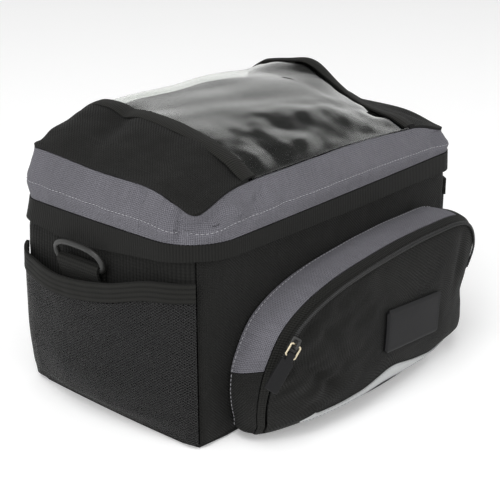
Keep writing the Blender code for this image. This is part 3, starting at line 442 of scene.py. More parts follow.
@dataclass(frozen=True)
class PocketShape:
    """The front pocket's skin, station by station round its seam."""

    body: BodyShape
    half_width: float = 0.113
    offset: float = 0.006
    height: float = 0.102
    depth: float = 0.045
    front_depth: float = 0.048
    middle: float = 0.050
    puff: float = 0.0025
    seat: float = 0.0006
    fine: int = 60
    seats: list[StationSeat] = field(default_factory=list, repr=False)
    stations: tuple[Station, ...] = (
        Station(-0.940, 0.018, 0.40, 0.10, 0.03, 4.5),
        Station(-1.005, 0.120, 0.48, 0.10, 0.03, 4.5),
        Station(-1.040, 0.330, 0.56, 0.11, 0.03, 4.0),
        Station(-1.000, 0.555, 0.60, 0.13, 0.04, 3.2),
        Station(-0.850, 0.790, 0.62, 0.16, 0.05, 2.8),
        Station(-0.530, 0.935, 0.63, 0.18, 0.06, 2.6),
        Station(0.000, 1.000, 0.62, 0.18, 0.07, 2.6),
        Station(0.500, 1.010, 0.62, 0.18, 0.06, 2.6),
        Station(0.880, 0.970, 0.64, 0.18, 0.06, 3.0),
        Station(1.040, 0.760, 0.66, 0.16, 0.09, 3.4),
        Station(1.010, 0.420, 0.58, 0.10, 0.08, 4.0),
        Station(1.000, 0.120, 0.49, 0.10, 0.03, 4.5),
        Station(0.940, 0.018, 0.40, 0.10, 0.03, 4.5),
        Station(0.500, 0.008, 0.64, 0.10, 0.03, 4.2),
        Station(0.000, 0.008, 0.72, 0.10, 0.03, 4.2),
        Station(-0.500, 0.008, 0.62, 0.10, 0.03, 4.2),
    )
    folds: tuple[Fold, ...] = (
        Fold(-0.70, 0.42, -38.0, 0.24, 0.045, 0.085),
        Fold(-0.60, 0.62, -62.0, 0.20, 0.050, 0.060),
        Fold(-0.74, 0.24, -15.0, 0.18, 0.050, 0.055),
        Fold(0.72, 0.74, 60.0, 0.22, 0.060, 0.070),
    )

    def value(self, column: str, u: float) -> float:
        """A column of the stations, on a smooth closed curve through them."""
        count = len(self.stations)
        whole = math.floor(u)
        values = [getattr(self.stations[(whole + k) % count], column) for k in (-1, 0, 1, 2)]
        return catmull(*values, u - whole)

    def station_seat(self, u: float) -> StationSeat:
        """The points that the skin passes through at a station."""
        across, up, depth, forward, draw_in, fill = (self.value(c, u) for c in Station._fields)
        x = self.offset + across * self.half_width
        z = self.body.floor + up * (self.height - self.body.floor)
        seam = Vector((x, self.body.wall_at(Side.FRONT, x, z).y - self.seat, z))
        middle = Vector((self.offset, 0.0, self.middle))
        middle.y = self.body.wall_at(Side.FRONT, middle.x, middle.z).y - self.front_depth
        outward = Vector((x - middle.x, 0.0, z - middle.z)).normalized()
        edge = seam + Vector((0.0, -depth * self.depth, 0.0)) + outward * self.puff * 0.5
        shift = Vector((draw_in * (middle.x - x), -forward * self.depth, draw_in * (middle.z - z)))
        return StationSeat(seam, edge, edge + shift, middle, outward, fill, up <= 0.05)

    def seat_at(self, u: float) -> StationSeat:
        """The seat at a station, blended from those of the nearest fine steps."""
        if not self.seats:
            count = len(self.stations) * self.fine
            self.seats.extend(self.station_seat(k / self.fine) for k in range(count))
        place = (u % len(self.stations)) * self.fine
        low = int(place)
        part = place - low
        a, b = self.seats[low % len(self.seats)], self.seats[(low + 1) % len(self.seats)]
        points = [p.lerp(q, part) for p, q in zip(a[:5], b[:5])]
        return StationSeat(*points, lerp(a.fill, b.fill, part), a.low)

    def on_seat(self, seat: StationSeat, w: float) -> Vector:
        """The skin at a station: 0 is the wall seam, 1 the gusset's edge, 2 the zip line, 3 the middle."""
        if w <= 1.0:
            puff = 0.0 if seat.low else self.puff * math.sin(math.pi * max(0.0, w))
            return seat.seam.lerp(seat.edge, w) + seat.outward * puff
        if w <= 2.0:
            return seat.edge.lerp(seat.line, w - 1.0)
        share = min(1.0, w - 2.0)
        point = seat.line.lerp(seat.middle, share)
        point.y = lerp(seat.line.y, seat.middle.y, 1.0 - (1.0 - share) ** seat.fill)
        folds = fold_depth(
            self.folds, point.x - self.offset, point.z, self.half_width, self.height, self.height
        )
        point.y += self.depth * folds * smoothstep(0.0, 0.18, share)
        return point

    def point(self, u: float, w: float) -> Vector:
        """The skin at a station and a place between its lines."""
        return self.on_seat(self.seat_at(u), w)


@dataclass
class Sheet:
    """A grid of points on a surface, its outward normals, and its lengths for patterns.

    Attributes:
        points: Rows by columns by 3, in the row frame.
        normals: The same shape, unit length.
        closed: The last column joins the first.
    """

    points: np.ndarray
    normals: np.ndarray
    closed: bool = False

    @classmethod
    def sample(
        cls,
        surface: Surface,
        us: Sequence[float],
        vs: Sequence[float],
        closed: bool = False,
        outward: float = 1.0,
        relief: Relief | None = None,
    ) -> Sheet:
        """Samples a surface and works out its normals.

        Args:
            surface: The point at (u, v), in the part's own frame.
            us: Values for the columns.
            vs: Values for the rows.
            closed: The last column joins the first.
            outward: 1 or -1, which way the cross product of the two directions faces.
            relief: How far each point moves along its normal.

        Returns:
            The sheet.
        """
        points = np.array([[surface(u, v)[:] for u in us] for v in vs])
        sheet = cls(points, np.zeros_like(points), closed)
        sheet.update_normals(outward)
        if relief is not None:
            moves = np.array(
                [[relief(u, v, Vector(points[i, j])) for j, u in enumerate(us)] for i, v in enumerate(vs)]
            )
            sheet.points = points + sheet.normals * moves[:, :, None]
            sheet.update_normals(outward)
        return sheet

    def update_normals(self, outward: float) -> None:
        """Works the normals out again from the points."""
        if self.closed:
            along = np.roll(self.points, -1, axis=1) - np.roll(self.points, 1, axis=1)
        else:
            along = np.gradient(self.points, axis=1)
        up = np.gradient(self.points, axis=0)
        cross = np.cross(along, up) * outward
        self.normals = cross / np.maximum(np.linalg.norm(cross, axis=2, keepdims=True), 1e-12)

    def lengths(self) -> tuple[np.ndarray, np.ndarray]:
        """Distances in metres along the columns (with one more column if closed) and up the rows."""
        points = self.points
        if self.closed:
            points = np.concatenate([points, points[:, :1]], axis=1)
        steps = np.linalg.norm(np.diff(points, axis=1), axis=2).mean(axis=0)
        along = np.concatenate([[0.0], np.cumsum(steps)])
        rows, columns = points.shape[:2]
        rises = np.linalg.norm(np.diff(points, axis=0), axis=2)
        up = np.concatenate([np.zeros((1, columns)), np.cumsum(rises, axis=0)])
        return np.tile(along, (rows, 1)), up

    def build(self, name: str, top: float, bottom: float, material: bpy.types.Material) -> bpy.types.Object:
        """Makes a closed cloth wall between two offsets along the normal.

        Args:
            name: The object's name.
            top: The outer face's offset, in metres.
            bottom: The inner face's offset.
            material: Its material.

        Returns:
            The linked object, smooth shaded, with lengths in metres as its UV map.
        """
        rows, columns = self.points.shape[:2]
        outer = (self.points + self.normals * top).reshape(-1, 3)
        inner = (self.points + self.normals * bottom).reshape(-1, 3)
        count = rows * columns
        spans = columns if self.closed else columns - 1
        i, j = np.meshgrid(np.arange(rows - 1), np.arange(spans), indexing="ij")
        k = (j + 1) % columns
        quad = np.stack([i * columns + j, i * columns + k, (i + 1) * columns + k, (i + 1) * columns + j], -1)
        places = np.stack(
            [
                i * (spans + 1) + j,
                i * (spans + 1) + j + 1,
                (i + 1) * (spans + 1) + j + 1,
                (i + 1) * (spans + 1) + j,
            ],
            -1,
        )
        along, up = self.lengths()
        uv = np.stack([along.ravel(), up.ravel()], -1)
        quad, places = quad.reshape(-1, 4), places.reshape(-1, 4)
        faces, uvs = [quad, quad[:, ::-1] + count], [uv[places], uv[places[:, ::-1]]]
        for row in (0, rows - 1):
            a = row * columns + np.arange(spans)
            b = row * columns + (np.arange(spans) + 1) % columns
            place = row * (spans + 1) + np.arange(spans)
            faces.append(np.stack([a, b, b + count, a + count], -1))
            uvs.append(uv[np.stack([place, place + 1, place + 1, place], -1)])
        if not self.closed:
            for column in (0, columns - 1):
                a = np.arange(rows - 1) * columns + column
                b = a + columns
                place = np.arange(rows - 1) * (spans + 1) + column
                faces.append(np.stack([a, b, b + count, a + count], -1))
                uvs.append(uv[np.stack([place, place + spans + 1, place + spans + 1, place], -1)])
        mesh = bpy.data.meshes.new(name)
        mesh.from_pydata(np.concatenate([outer, inner]).tolist(), [], np.concatenate(faces).tolist())
        layer = mesh.uv_layers.new(name="lengths")
        layer.data.foreach_set("uv", np.concatenate(uvs).reshape(-1, 2).ravel())
        return finish_mesh(name, mesh, material)


def finish_mesh(
    name: str, mesh: bpy.types.Mesh, material: bpy.types.Material, sharp_degrees: float = 50.0
) -> bpy.types.Object:
    """Turns a mesh into a linked, smooth-shaded object with outward faces."""
    bm = bmesh.new()
    bm.from_mesh(mesh)
    bmesh.ops.recalc_face_normals(bm, faces=bm.faces)
    bm.to_mesh(mesh)
    bm.free()
    mesh.shade_smooth()
    mesh.set_sharp_from_angle(angle=math.radians(sharp_degrees))
    mesh.materials.append(material)
    obj = bpy.data.objects.new(name, mesh)
    bpy.context.scene.collection.objects.link(obj)
    return obj


def bmesh_object(name: str, bm: bmesh.types.BMesh, material: bpy.types.Material) -> bpy.types.Object:
    """Turns a bmesh into a linked object."""
    mesh = bpy.data.meshes.new(name)
    bm.to_mesh(mesh)
    bm.free()
    return finish_mesh(name, mesh, material)


def rounded_box(
    name: str, size: Sequence[float], bevel: float, material: bpy.types.Material, segments: int = 4
) -> bpy.types.Object:
    """A box centred on its origin, with rounded edges."""
    bm = bmesh.new()
    bmesh.ops.create_cube(bm, size=1.0)
    bmesh.ops.scale(bm, vec=size, verts=bm.verts)
    bmesh.ops.bevel(
        bm, geom=bm.edges[:], offset=bevel, segments=segments, profile=0.5, affect="EDGES", clamp_overlap=True
    )
    return bmesh_object(name, bm, material)


def wire_loop(
    name: str, points: Sequence[Vector], diameter: float, material: bpy.types.Material
) -> bpy.types.Object:
    """A closed loop of round wire through the points."""
    curve = bpy.data.curves.new(name, "CURVE")
    curve.dimensions = "3D"
    curve.bevel_depth = diameter / 2.0
    curve.bevel_resolution = 5
    spline = curve.splines.new("POLY")
    spline.points.add(len(points) - 1)
    for knot, point in zip(spline.points, points):
        knot.co = (*point, 1.0)
    spline.use_cyclic_u = True
    curve.materials.append(material)
    obj = bpy.data.objects.new(name, curve)
    bpy.context.scene.collection.objects.link(obj)
    return obj


def frame_matrix(origin: Vector, x_axis: Vector, y_axis: Vector, z_axis: Vector) -> Matrix:
    """The transform that puts the origin and axes there."""
    rows = [[x_axis[i], y_axis[i], z_axis[i], origin[i]] for i in range(3)]
    return Matrix(rows + [[0.0, 0.0, 0.0, 1.0]])


class NodeGroup:
    """Builds one shader node group with named inputs and outputs."""

    def __init__(self, name: str, inputs: dict[str, float | str], outputs: Sequence[str]) -> None:
        """Starts a group.

        Args:
            name: The group's name.
            inputs: Each input's name and its default, or "vector" for a vector.
            outputs: The names of its outputs, all values.
        """
        self.tree = bpy.data.node_groups.new(name, "ShaderNodeTree")
        for key, value in inputs.items():
            kind = "NodeSocketVector" if value == "vector" else "NodeSocketFloat"
            socket = self.tree.interface.new_socket(name=key, in_out="INPUT", socket_type=kind)
            if value != "vector":
                socket.default_value = value
        for key in outputs:
            self.tree.interface.new_socket(name=key, in_out="OUTPUT", socket_type="NodeSocketFloat")
        self.source = self.tree.nodes.new("NodeGroupInput")
        self.sink = self.tree.nodes.new("NodeGroupOutput")

    def node(self, kind: str, **settings: object) -> bpy.types.Node:
        """A new node with these properties set."""
        made = self.tree.nodes.new(kind)
        for key, value in settings.items():
            setattr(made, key, value)
        return made

    def link(self, start: object, end: object) -> None:
        """Joins an output to an input."""
        self.tree.links.new(start, end)

    def math(self, operation: str, a: object, b: object = 0.0, c: object = 0.0) -> object:
        """The output of a math node, whose inputs are sockets or numbers."""
        made = self.node("ShaderNodeMath", operation=operation)
        for socket, value in zip(made.inputs, (a, b, c)):
            if isinstance(value, (int, float)):
                socket.default_value = value
            else:
                self.link(value, socket)
        return made.outputs[0]

    def split(self, vector: object) -> tuple[object, object]:
        """The X and Y of a vector."""
        made = self.node("ShaderNodeSeparateXYZ")
        self.link(vector, made.inputs[0])
        return made.outputs["X"], made.outputs["Y"]


def weave_group() -> bpy.types.NodeTree:
    """Plain woven cloth: Height rises over each thread; Tint varies from thread to thread with the slub
    streaks, and rises with Height as painted highlight on the thread crowns and painted shade between them.
    """
    group = NodeGroup("Weave", {"Vector": "vector", "Threads": 1200.0, "Slub": 0.5}, ("Height", "Tint"))
    x, y = group.split(group.source.outputs["Vector"])
    turn = group.source.outputs["Threads"]
    u = group.math("MULTIPLY", group.math("MULTIPLY", x, turn), math.pi)
    v = group.math("MULTIPLY", group.math("MULTIPLY", y, turn), math.pi)
    warp = group.math("ABSOLUTE", group.math("SINE", u))
    weft = group.math("ABSOLUTE", group.math("SINE", v))
    over = group.math(
        "GREATER_THAN", group.math("MULTIPLY", group.math("SINE", u), group.math("SINE", v)), 0.0
    )
    under = group.math("SUBTRACT", 1.0, over)
    height = group.math("ADD", group.math("MULTIPLY", warp, over), group.math("MULTIPLY", weft, under))
    stretched = group.node("ShaderNodeMapping")
    stretched.inputs["Scale"].default_value = (900.0, 60.0, 1.0)
    group.link(group.source.outputs["Vector"], stretched.inputs["Vector"])
    streaks = group.node("ShaderNodeTexNoise")
    streaks.inputs["Scale"].default_value = 1.0
    streaks.inputs["Detail"].default_value = 2.0
    group.link(stretched.outputs[0], streaks.inputs["Vector"])
    slub = group.math("MULTIPLY", streaks.outputs["Fac"], group.source.outputs["Slub"])
    group.link(height, group.sink.inputs["Height"])
    # Tint: thread height as painted highlight on the crowns and painted shade between threads, plus slub
    # streaks of real thread tone.
    group.link(group.math("ADD", group.math("MULTIPLY", height, 0.35), slub), group.sink.inputs["Tint"])
    return group.tree


def rib_group() -> bpy.types.NodeTree:
    """Ribbed tape: parallel ribs at a pitch, along or across the UV map, broken into stitches."""
    inputs = {"Vector": "vector", "Pitch": 0.0018, "Across": 1.0, "Break": 0.3, "Length": 0.0016}
    group = NodeGroup("Ribs", inputs, ("Height",))
    x, y = group.split(group.source.outputs["Vector"])
    across = group.source.outputs["Across"]
    other = group.math("SUBTRACT", 1.0, across)
    run = group.math("ADD", group.math("MULTIPLY", x, across), group.math("MULTIPLY", y, other))
    beside = group.math("ADD", group.math("MULTIPLY", y, across), group.math("MULTIPLY", x, other))
    turns = group.math("MULTIPLY", group.math("DIVIDE", run, group.source.outputs["Pitch"]), math.pi)
    rib = group.math("ABSOLUTE", group.math("SINE", turns))
    cells = group.math("MULTIPLY", group.math("DIVIDE", beside, group.source.outputs["Length"]), math.pi)
    dents = group.math("ABSOLUTE", group.math("SINE", cells))
    broken = group.math("MULTIPLY", group.math("SUBTRACT", 1.0, dents), group.source.outputs["Break"])
    group.link(group.math("SUBTRACT", rib, broken), group.sink.inputs["Height"])
    return group.tree


def wear_group() -> bpy.types.NodeTree:
    """Slow blotches that Tint the colour, and Crease, small soft wrinkles for the bump."""
    group = NodeGroup("Wear", {"Vector": "vector", "Amount": 0.3}, ("Tint", "Crease"))
    broad = group.node("ShaderNodeTexNoise")
    broad.inputs["Scale"].default_value = 18.0
    broad.inputs["Detail"].default_value = 3.0
    group.link(group.source.outputs["Vector"], broad.inputs["Vector"])
    fine = group.node("ShaderNodeTexNoise")
    fine.inputs["Scale"].default_value = 55.0
    fine.inputs["Detail"].default_value = 4.0
    group.link(group.source.outputs["Vector"], fine.inputs["Vector"])
    tint = group.math("SUBTRACT", broad.outputs["Fac"], 0.5)
    scaled = group.math("MULTIPLY", tint, group.source.outputs["Amount"])
    group.link(group.math("ADD", scaled, 1.0), group.sink.inputs["Tint"])
    group.link(fine.outputs["Fac"], group.sink.inputs["Crease"])
    return group.tree


def net_group() -> bpy.types.NodeTree:
    """A diamond net: Strands is 1 on them, Alpha also counts the fine threads between, Height rises."""
    inputs = {"Vector": "vector", "Pitch": 0.0032, "Strand": 0.3, "Veil": 0.5}
    group = NodeGroup("Net", inputs, ("Strands", "Alpha", "Height"))
    x, y = group.split(group.source.outputs["Vector"])
    pitch = group.source.outputs["Pitch"]
    y = group.math("MULTIPLY", y, 1.6)
    nearest = None
    for sign in (1.0, -1.0):
        run = group.math("DIVIDE", group.math("ADD", x, group.math("MULTIPLY", y, sign)), pitch)
        off = group.math("ABSOLUTE", group.math("SUBTRACT", group.math("FRACT", run), 0.5))
        nearest = off if nearest is None else group.math("MAXIMUM", nearest, off)
    edge = group.math("SUBTRACT", 0.5, group.math("MULTIPLY", group.source.outputs["Strand"], 0.5))
    strands = group.math("GREATER_THAN", nearest, edge)
    group.link(strands, group.sink.inputs["Strands"])
    group.link(group.math("MAXIMUM", strands, group.source.outputs["Veil"]), group.sink.inputs["Alpha"])
    group.link(nearest, group.sink.inputs["Height"])
    return group.tree


class Groups:
    """The node groups that the finishes share, built once."""

    def __init__(self) -> None:
        """Builds every group."""
        self.weave = weave_group()
        self.ribs = rib_group()
        self.wear = wear_group()
        self.net = net_group()


class Finish:
    """A material under construction: a Principled shader with helpers for what feeds it."""

    def __init__(
        self,
        name: str,
        colour: tuple[float, float, float],
        roughness: float,
        metallic: float = 0.0,
    ) -> None:
        """Starts a plain material."""
        self.material = bpy.data.materials.new(name)
        self.material.use_nodes = True
        self.tree = self.material.node_tree
        self.shader = self.tree.nodes["Principled BSDF"]
        self.colour = colour
        self.set("Base Color", (*colour, 1.0))
        self.set("Roughness", roughness)
        self.set("Metallic", metallic)
        self.material.diffuse_color = (*colour, 1.0)

    def set(self, name: str, value: object) -> None:
        """Sets an input of the shader."""
        self.shader.inputs[name].default_value = value

    def uv(self) -> object:
        """The lengths map's output."""
        made = self.tree.nodes.new("ShaderNodeUVMap")
        made.uv_map = "lengths"
        return made.outputs[0]

    def place(self) -> object:
        """The object coordinates' output."""
        return self.tree.nodes.new("ShaderNodeTexCoord").outputs["Object"]

    def use(self, group: bpy.types.NodeTree, vector: object, **values: float) -> bpy.types.Node:
        """Adds a group, fed by this vector, with these inputs."""
        made = self.tree.nodes.new("ShaderNodeGroup")
        made.node_tree = group
        self.tree.links.new(vector, made.inputs["Vector"])
        for key, value in values.items():
            made.inputs[key].default_value = value
        return made

    def tint(self, factor: object, low: float, high: float) -> None:
        """Multiplies the colour by a value mapped from 0..1 to low..high, on top of earlier tints."""
        scale = self.tree.nodes.new("ShaderNodeMapRange")
        scale.inputs["To Min"].default_value = low
        scale.inputs["To Max"].default_value = high
        scale.clamp = False
        self.tree.links.new(factor, scale.inputs["Value"])
        mix = self.tree.nodes.new("ShaderNodeVectorMath")
        mix.operation = "SCALE"
        socket = self.shader.inputs["Base Color"]
        if socket.links:
            self.tree.links.new(socket.links[0].from_socket, mix.inputs[0])
        else:
            mix.inputs[0].default_value = self.colour
        self.tree.links.new(scale.outputs[0], mix.inputs["Scale"])
        self.tree.links.new(mix.outputs[0], socket)

    def bump(self, height: object, distance: float, strength: float = 1.0) -> None:
        """Adds a bump in metres, on top of earlier ones."""
        made = self.tree.nodes.new("ShaderNodeBump")
        made.inputs["Distance"].default_value = distance
        made.inputs["Strength"].default_value = strength
        self.tree.links.new(height, made.inputs["Height"])
        socket = self.shader.inputs["Normal"]
        if socket.links:
            self.tree.links.new(socket.links[0].from_socket, made.inputs["Normal"])
        self.tree.links.new(made.outputs[0], socket)


@dataclass(frozen=True)
class Cloth:
    """Coated woven cloth.

    Attributes:
        name: The material's name.
        slot: The record's slot.
        colour: Linear base colour.
        roughness: The shader's roughness.
        threads: Threads per metre.
        depth: Height of a thread, in metres.
        slub: How much thread tints vary.
    """

    name: str
    slot: str
    colour: tuple[float, float, float]
    roughness: float = 0.82
    threads: float = 900.0
    depth: float = 0.0004
    slub: float = 0.3

    def build(self, groups: Groups) -> bpy.types.Material:
        """The material."""
        finish = Finish(self.name, self.colour, self.roughness)
        finish.set("Specular IOR Level", CLOTH_SPECULAR)
        finish.set("Sheen Weight", 0.03)
        finish.set("Sheen Roughness", 0.45)
        weave = finish.use(groups.weave, finish.uv(), Threads=self.threads, Slub=self.slub)
        wear = finish.use(groups.wear, finish.place(), Amount=0.35)
        # Colour from 0.30 to 2.2 times: painted highlight on raised threads and painted shade between them,
        # plus real slub tone.
        finish.tint(weave.outputs["Tint"], 0.30, 2.2)
        finish.tint(wear.outputs["Tint"], 0.0, 1.0)
        finish.bump(wear.outputs["Crease"], 0.0012, 0.35)
        finish.bump(weave.outputs["Height"], self.depth)
        return finish.material


@dataclass(frozen=True)
class Tape:
    """Ribbed tape, webbing or elastic, coloured darker in its rib grooves as painted shade and lighter on the
    rib crowns as painted highlight.
    """

    name: str
    slot: str
    colour: tuple[float, float, float]
    direction: Direction
    pitch: float
    broken: float = 0.25
    length: float = 0.0016
    roughness: float = 0.82
    depth: float = 0.0004
    # low and high: colour scale in the rib grooves and dents (painted shade) and on the rib crowns (painted
    # highlight).
    low: float = 0.6
    high: float = 1.2

    def build(self, groups: Groups) -> bpy.types.Material:
        """The material."""
        finish = Finish(self.name, self.colour, self.roughness)
        finish.set("Specular IOR Level", CLOTH_SPECULAR)
        finish.set("Sheen Weight", 0.02)
        across = 1.0 if self.direction is Direction.ACROSS else 0.0
        ribs = finish.use(
            groups.ribs, finish.uv(), Pitch=self.pitch, Across=across, Break=self.broken, Length=self.length
        )
        wear = finish.use(groups.wear, finish.place(), Amount=0.3)
        # Colour follows rib height: painted shade in grooves and dents, painted highlight on the rib crowns.
        finish.tint(ribs.outputs["Height"], self.low, self.high)
        finish.tint(wear.outputs["Tint"], 0.0, 1.0)
        finish.bump(ribs.outputs["Height"], self.depth)
        return finish.material


@dataclass(frozen=True)
class Net:
    """Knitted diamond net, open between its strands, with its strands coloured lighter as painted highlight
    and the veil between them darker as painted shade in the holes.
    """

    name: str
    slot: str
    colour: tuple[float, float, float]
    pitch: float = 0.0030
    strand: float = 0.22
    veil: float = 0.75
    # low and high: colour scale of the veil between strands (painted shade in the holes) and of the strands
    # (painted highlight).
    low: float = 0.30
    high: float = 1.5

    def build(self, groups: Groups) -> bpy.types.Material:
        """The material."""
        finish = Finish(self.name, self.colour, 0.62)
        net = finish.use(groups.net, finish.uv(), Pitch=self.pitch, Strand=self.strand, Veil=self.veil)
        finish.set("Specular IOR Level", 0.2)
        finish.tree.links.new(net.outputs["Alpha"], finish.shader.inputs["Alpha"])
        # Strands lighter as painted highlight, the veil between them darker as painted shade in the holes.
        finish.tint(net.outputs["Strands"], self.low, self.high)
        finish.bump(net.outputs["Height"], 0.0002)
        return finish.material


@dataclass(frozen=True)
class Plain:
    """Moulded plastic, rubber, wire, thread or strip without a weave."""

    name: str
    slot: str
    colour: tuple[float, float, float]
    roughness: float
    metallic: float = 0.0
    grain: float = 0.0
    specular: float = 0.5

    def build(self, groups: Groups) -> bpy.types.Material:
        """The material."""
        finish = Finish(self.name, self.colour, self.roughness, self.metallic)
        finish.set("Specular IOR Level", self.specular)
        wear = finish.use(groups.wear, finish.place(), Amount=0.25)
        finish.tint(wear.outputs["Tint"], 0.0, 1.0)
        if self.grain > 0.0:
            finish.bump(wear.outputs["Crease"], self.grain)
        return finish.material


@dataclass(frozen=True)
class Vinyl:
    """The map window's clear soft vinyl."""

    name: str
    slot: str
    colour: tuple[float, float, float] = (0.86, 0.88, 0.85)

    def build(self, groups: Groups) -> bpy.types.Material:
        """The material."""
        finish = Finish(self.name, self.colour, 0.03)
        finish.set("Transmission Weight", 1.0)
        finish.set("IOR", 1.40)
        return finish.material


class Palette:
    """Every material of the bag, by use."""

    def __init__(self) -> None:
        """Builds the materials."""
        groups = Groups()
        black = (0.0105, 0.0105, 0.0097)
        tape = (0.0125, 0.0125, 0.0112)
        finishes = {
            "cloth": Cloth("black cloth", "black_cloth", black),
            "coarse": Tape(
                "coarse ribbed cloth", "black_cloth", black, Direction.ACROSS, 0.0029, 0.45, 0.0022
            ),
            "grey": Cloth("grey cloth", "grey_cloth", (0.152, 0.149, 0.168), threads=820.0, slub=0.2),
            "skirt": Tape(
                "ribbed skirt tape", "black_tape", black, Direction.ACROSS, 0.0019, 0.1, depth=0.00022
            ),
            # Binding ribs: 0.4 in the grooves as painted shade, 1.7 on the crowns as painted highlight.
            "binding": Tape(
                "binding tape", "black_tape", tape, Direction.ALONG, 0.0014, 0.1, low=0.4, high=1.7
            ),
            "hem": Tape("elastic hem", "black_tape", tape, Direction.ALONG, 0.0031, 0.2, 0.0012),
            "webbing": Tape("webbing", "black_tape", tape, Direction.ALONG, 0.0024, 0.35, 0.0020),
            "zip_tape": Tape("zip tape", "black_tape", tape, Direction.ACROSS, 0.0017, 0.6, 0.0020),
            "net": Net("side pocket net", "black_mesh", (0.0125, 0.0125, 0.0125)),
            "vinyl": Vinyl("clear vinyl", "clear_vinyl"),
            "plastic": Plain("black plastic", "black_plastic", (0.016, 0.016, 0.015), 0.42, grain=0.0002),
            "lining": Plain("black lining", "black_cloth", (0.009, 0.009, 0.0085), 0.9, specular=0.05),
            "coil": Plain("zip coil", "black_plastic", (0.016, 0.016, 0.016), 0.38),
            "rubber": Plain(
                "black rubber", "black_rubber", (0.0085, 0.0085, 0.0092), 0.56, grain=0.0002, specular=0.16
            ),
            "thread": Plain("pale thread", "grey_cloth", (0.36, 0.355, 0.38), 0.7),
            "strip": Plain("reflective strip", "reflective_grey", (0.40, 0.41, 0.41), 0.38, 0.15, 0.0002),
            "brass": Plain("brass wire", "brass_wire", (0.66, 0.58, 0.42), 0.28, 1.0),
        }
        self.materials = {key: finish.build(groups) for key, finish in finishes.items()}
        self.slots = {key: finish.slot for key, finish in finishes.items()}

    def __getitem__(self, key: str) -> bpy.types.Material:
        """The material for this use."""
        return self.materials[key]


@dataclass
class Workshop:
    """What every sub-assembly shares: the materials, and where the part's own frame lies in the row's."""

    palette: Palette
    shift: Vector
    made: list[str] = field(default_factory=list)

    def enter(self, obj: bpy.types.Object, use: str, *nodes: str) -> bpy.types.Object:
        """Moves a finished piece into the row frame and reports it.

        Args:
            obj: The piece, built in the part's own frame.
            use: The palette's key for its material.
            nodes: The CAD nodes that it stands for.

        Returns:
            The piece.
        """
        obj.matrix_world = Matrix.Translation(self.shift) @ obj.matrix_world
        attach(obj, "root")
        if nodes:
            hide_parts(*nodes)
        self.made.append(obj.name)
        LOG.info("piece %s in %s stands for %s", obj.name, use, ", ".join(nodes) or "none")
        return obj

    def sheet(
        self, name: str, sheet: Sheet, top: float, bottom: float, use: str, *nodes: str
    ) -> bpy.types.Object:
        """Builds a sheet as a cloth wall and enters it."""
        return self.enter(sheet.build(name, top, bottom, self.palette[use]), use, *nodes)

    def stitches(
        self,
        name: str,
        points: Sequence[Vector],
        normals: Sequence[Vector],
        use: str,
        stitch: float = 0.0021,
        space: float = 0.0010,
        thread: float = 0.00038,
    ) -> bpy.types.Object:
        """A run of stitches along a line on a surface, as one mesh.

        Args:
            name: The object's name.
            points: Points along the line, closely spaced.
            normals: The surface's normals there.
            use: The palette's key of the thread.
            stitch: Length of one stitch, in metres.
            space: Gap between two stitches.
            thread: Thickness of the thread.

        Returns:
            The joined stitches.
        """
        lengths = [0.0]
        for a, b in zip(points, points[1:]):
            lengths.append(lengths[-1] + (b - a).length)
        xs = np.array([p[:] for p in points])
        ns = np.array([n[:] for n in normals])
        vertices: list[tuple[float, float, float]] = []
        faces: list[tuple[int, ...]] = []
        start = 0.0
        while start + stitch < lengths[-1]:
            spine = []
            for share in (0.0, 0.2, 0.5, 0.8, 1.0):
                place = start + stitch * share
                point = Vector([float(np.interp(place, lengths, xs[:, k])) for k in range(3)])
                normal = Vector([float(np.interp(place, lengths, ns[:, k])) for k in range(3)]).normalized()
                spine.append((point, normal, share))
            heading = (spine[-1][0] - spine[0][0]).normalized()
            first = len(vertices)
            for point, normal, share in spine:
                beside = heading.cross(normal).normalized()
                lift = thread * 0.45 * math.sin(math.pi * share)
                width = thread * (0.30 + 0.32 * math.sin(math.pi * share))
                for k in range(6):
                    angle = k * math.pi / 3.0
                    ring = beside * math.cos(angle) * width + normal * (math.sin(angle) * width + lift)
                    vertices.append((point + ring)[:])
            for i in range(4):
                for k in range(6):
                    a = first + i * 6 + k
                    b = first + i * 6 + (k + 1) % 6
                    faces.append((a, b, b + 6, a + 6))
            faces.append(tuple(first + k for k in range(6)))
            faces.append(tuple(first + 24 + k for k in reversed(range(6))))
            start += stitch + space
        mesh = bpy.data.meshes.new(name)
        mesh.from_pydata(vertices, [], faces)
        return self.enter(finish_mesh(name, mesh, self.palette[use], 180.0), use)

    def stitch_row(self, name: str, sheet: Sheet, row: float, lift: float, use: str) -> bpy.types.Object:
        """Stitches along a row of a sheet, given as a share of its rows, lifted above its surface."""
        index = row * (sheet.points.shape[0] - 1)
        low = int(index)
        high = min(low + 1, sheet.points.shape[0] - 1)
        part = index - low
        line = sheet.points[low] * (1.0 - part) + sheet.points[high] * part
        normal = sheet.normals[low]
        if sheet.closed:
            line, normal = np.concatenate([line, line[:1]]), np.concatenate([normal, normal[:1]])
        points = [Vector(p) + Vector(n) * lift for p, n in zip(line, normal)]
        return self.stitches(name, points, [Vector(n) for n in normal], use)


def along_values(shape: BodyShape, side: Side, straight_count: int, corner_count: int) -> list[float]:
    """Stations along a side, closer together round its corners, clear of the corner seams."""
    half = (shape.rim[0] if side in (Side.FRONT, Side.BACK) else shape.rim[1]) / 2.0
    radius = shape.rim[2]
    straight = (half - radius) / (half - radius + radius * math.pi / 4.0)
    corner = spread(straight, 1.0 - GAP / half, corner_count)
    middle = spread(-straight, straight, straight_count)[1:-1]
    return [-value for value in reversed(corner)] + middle + corner


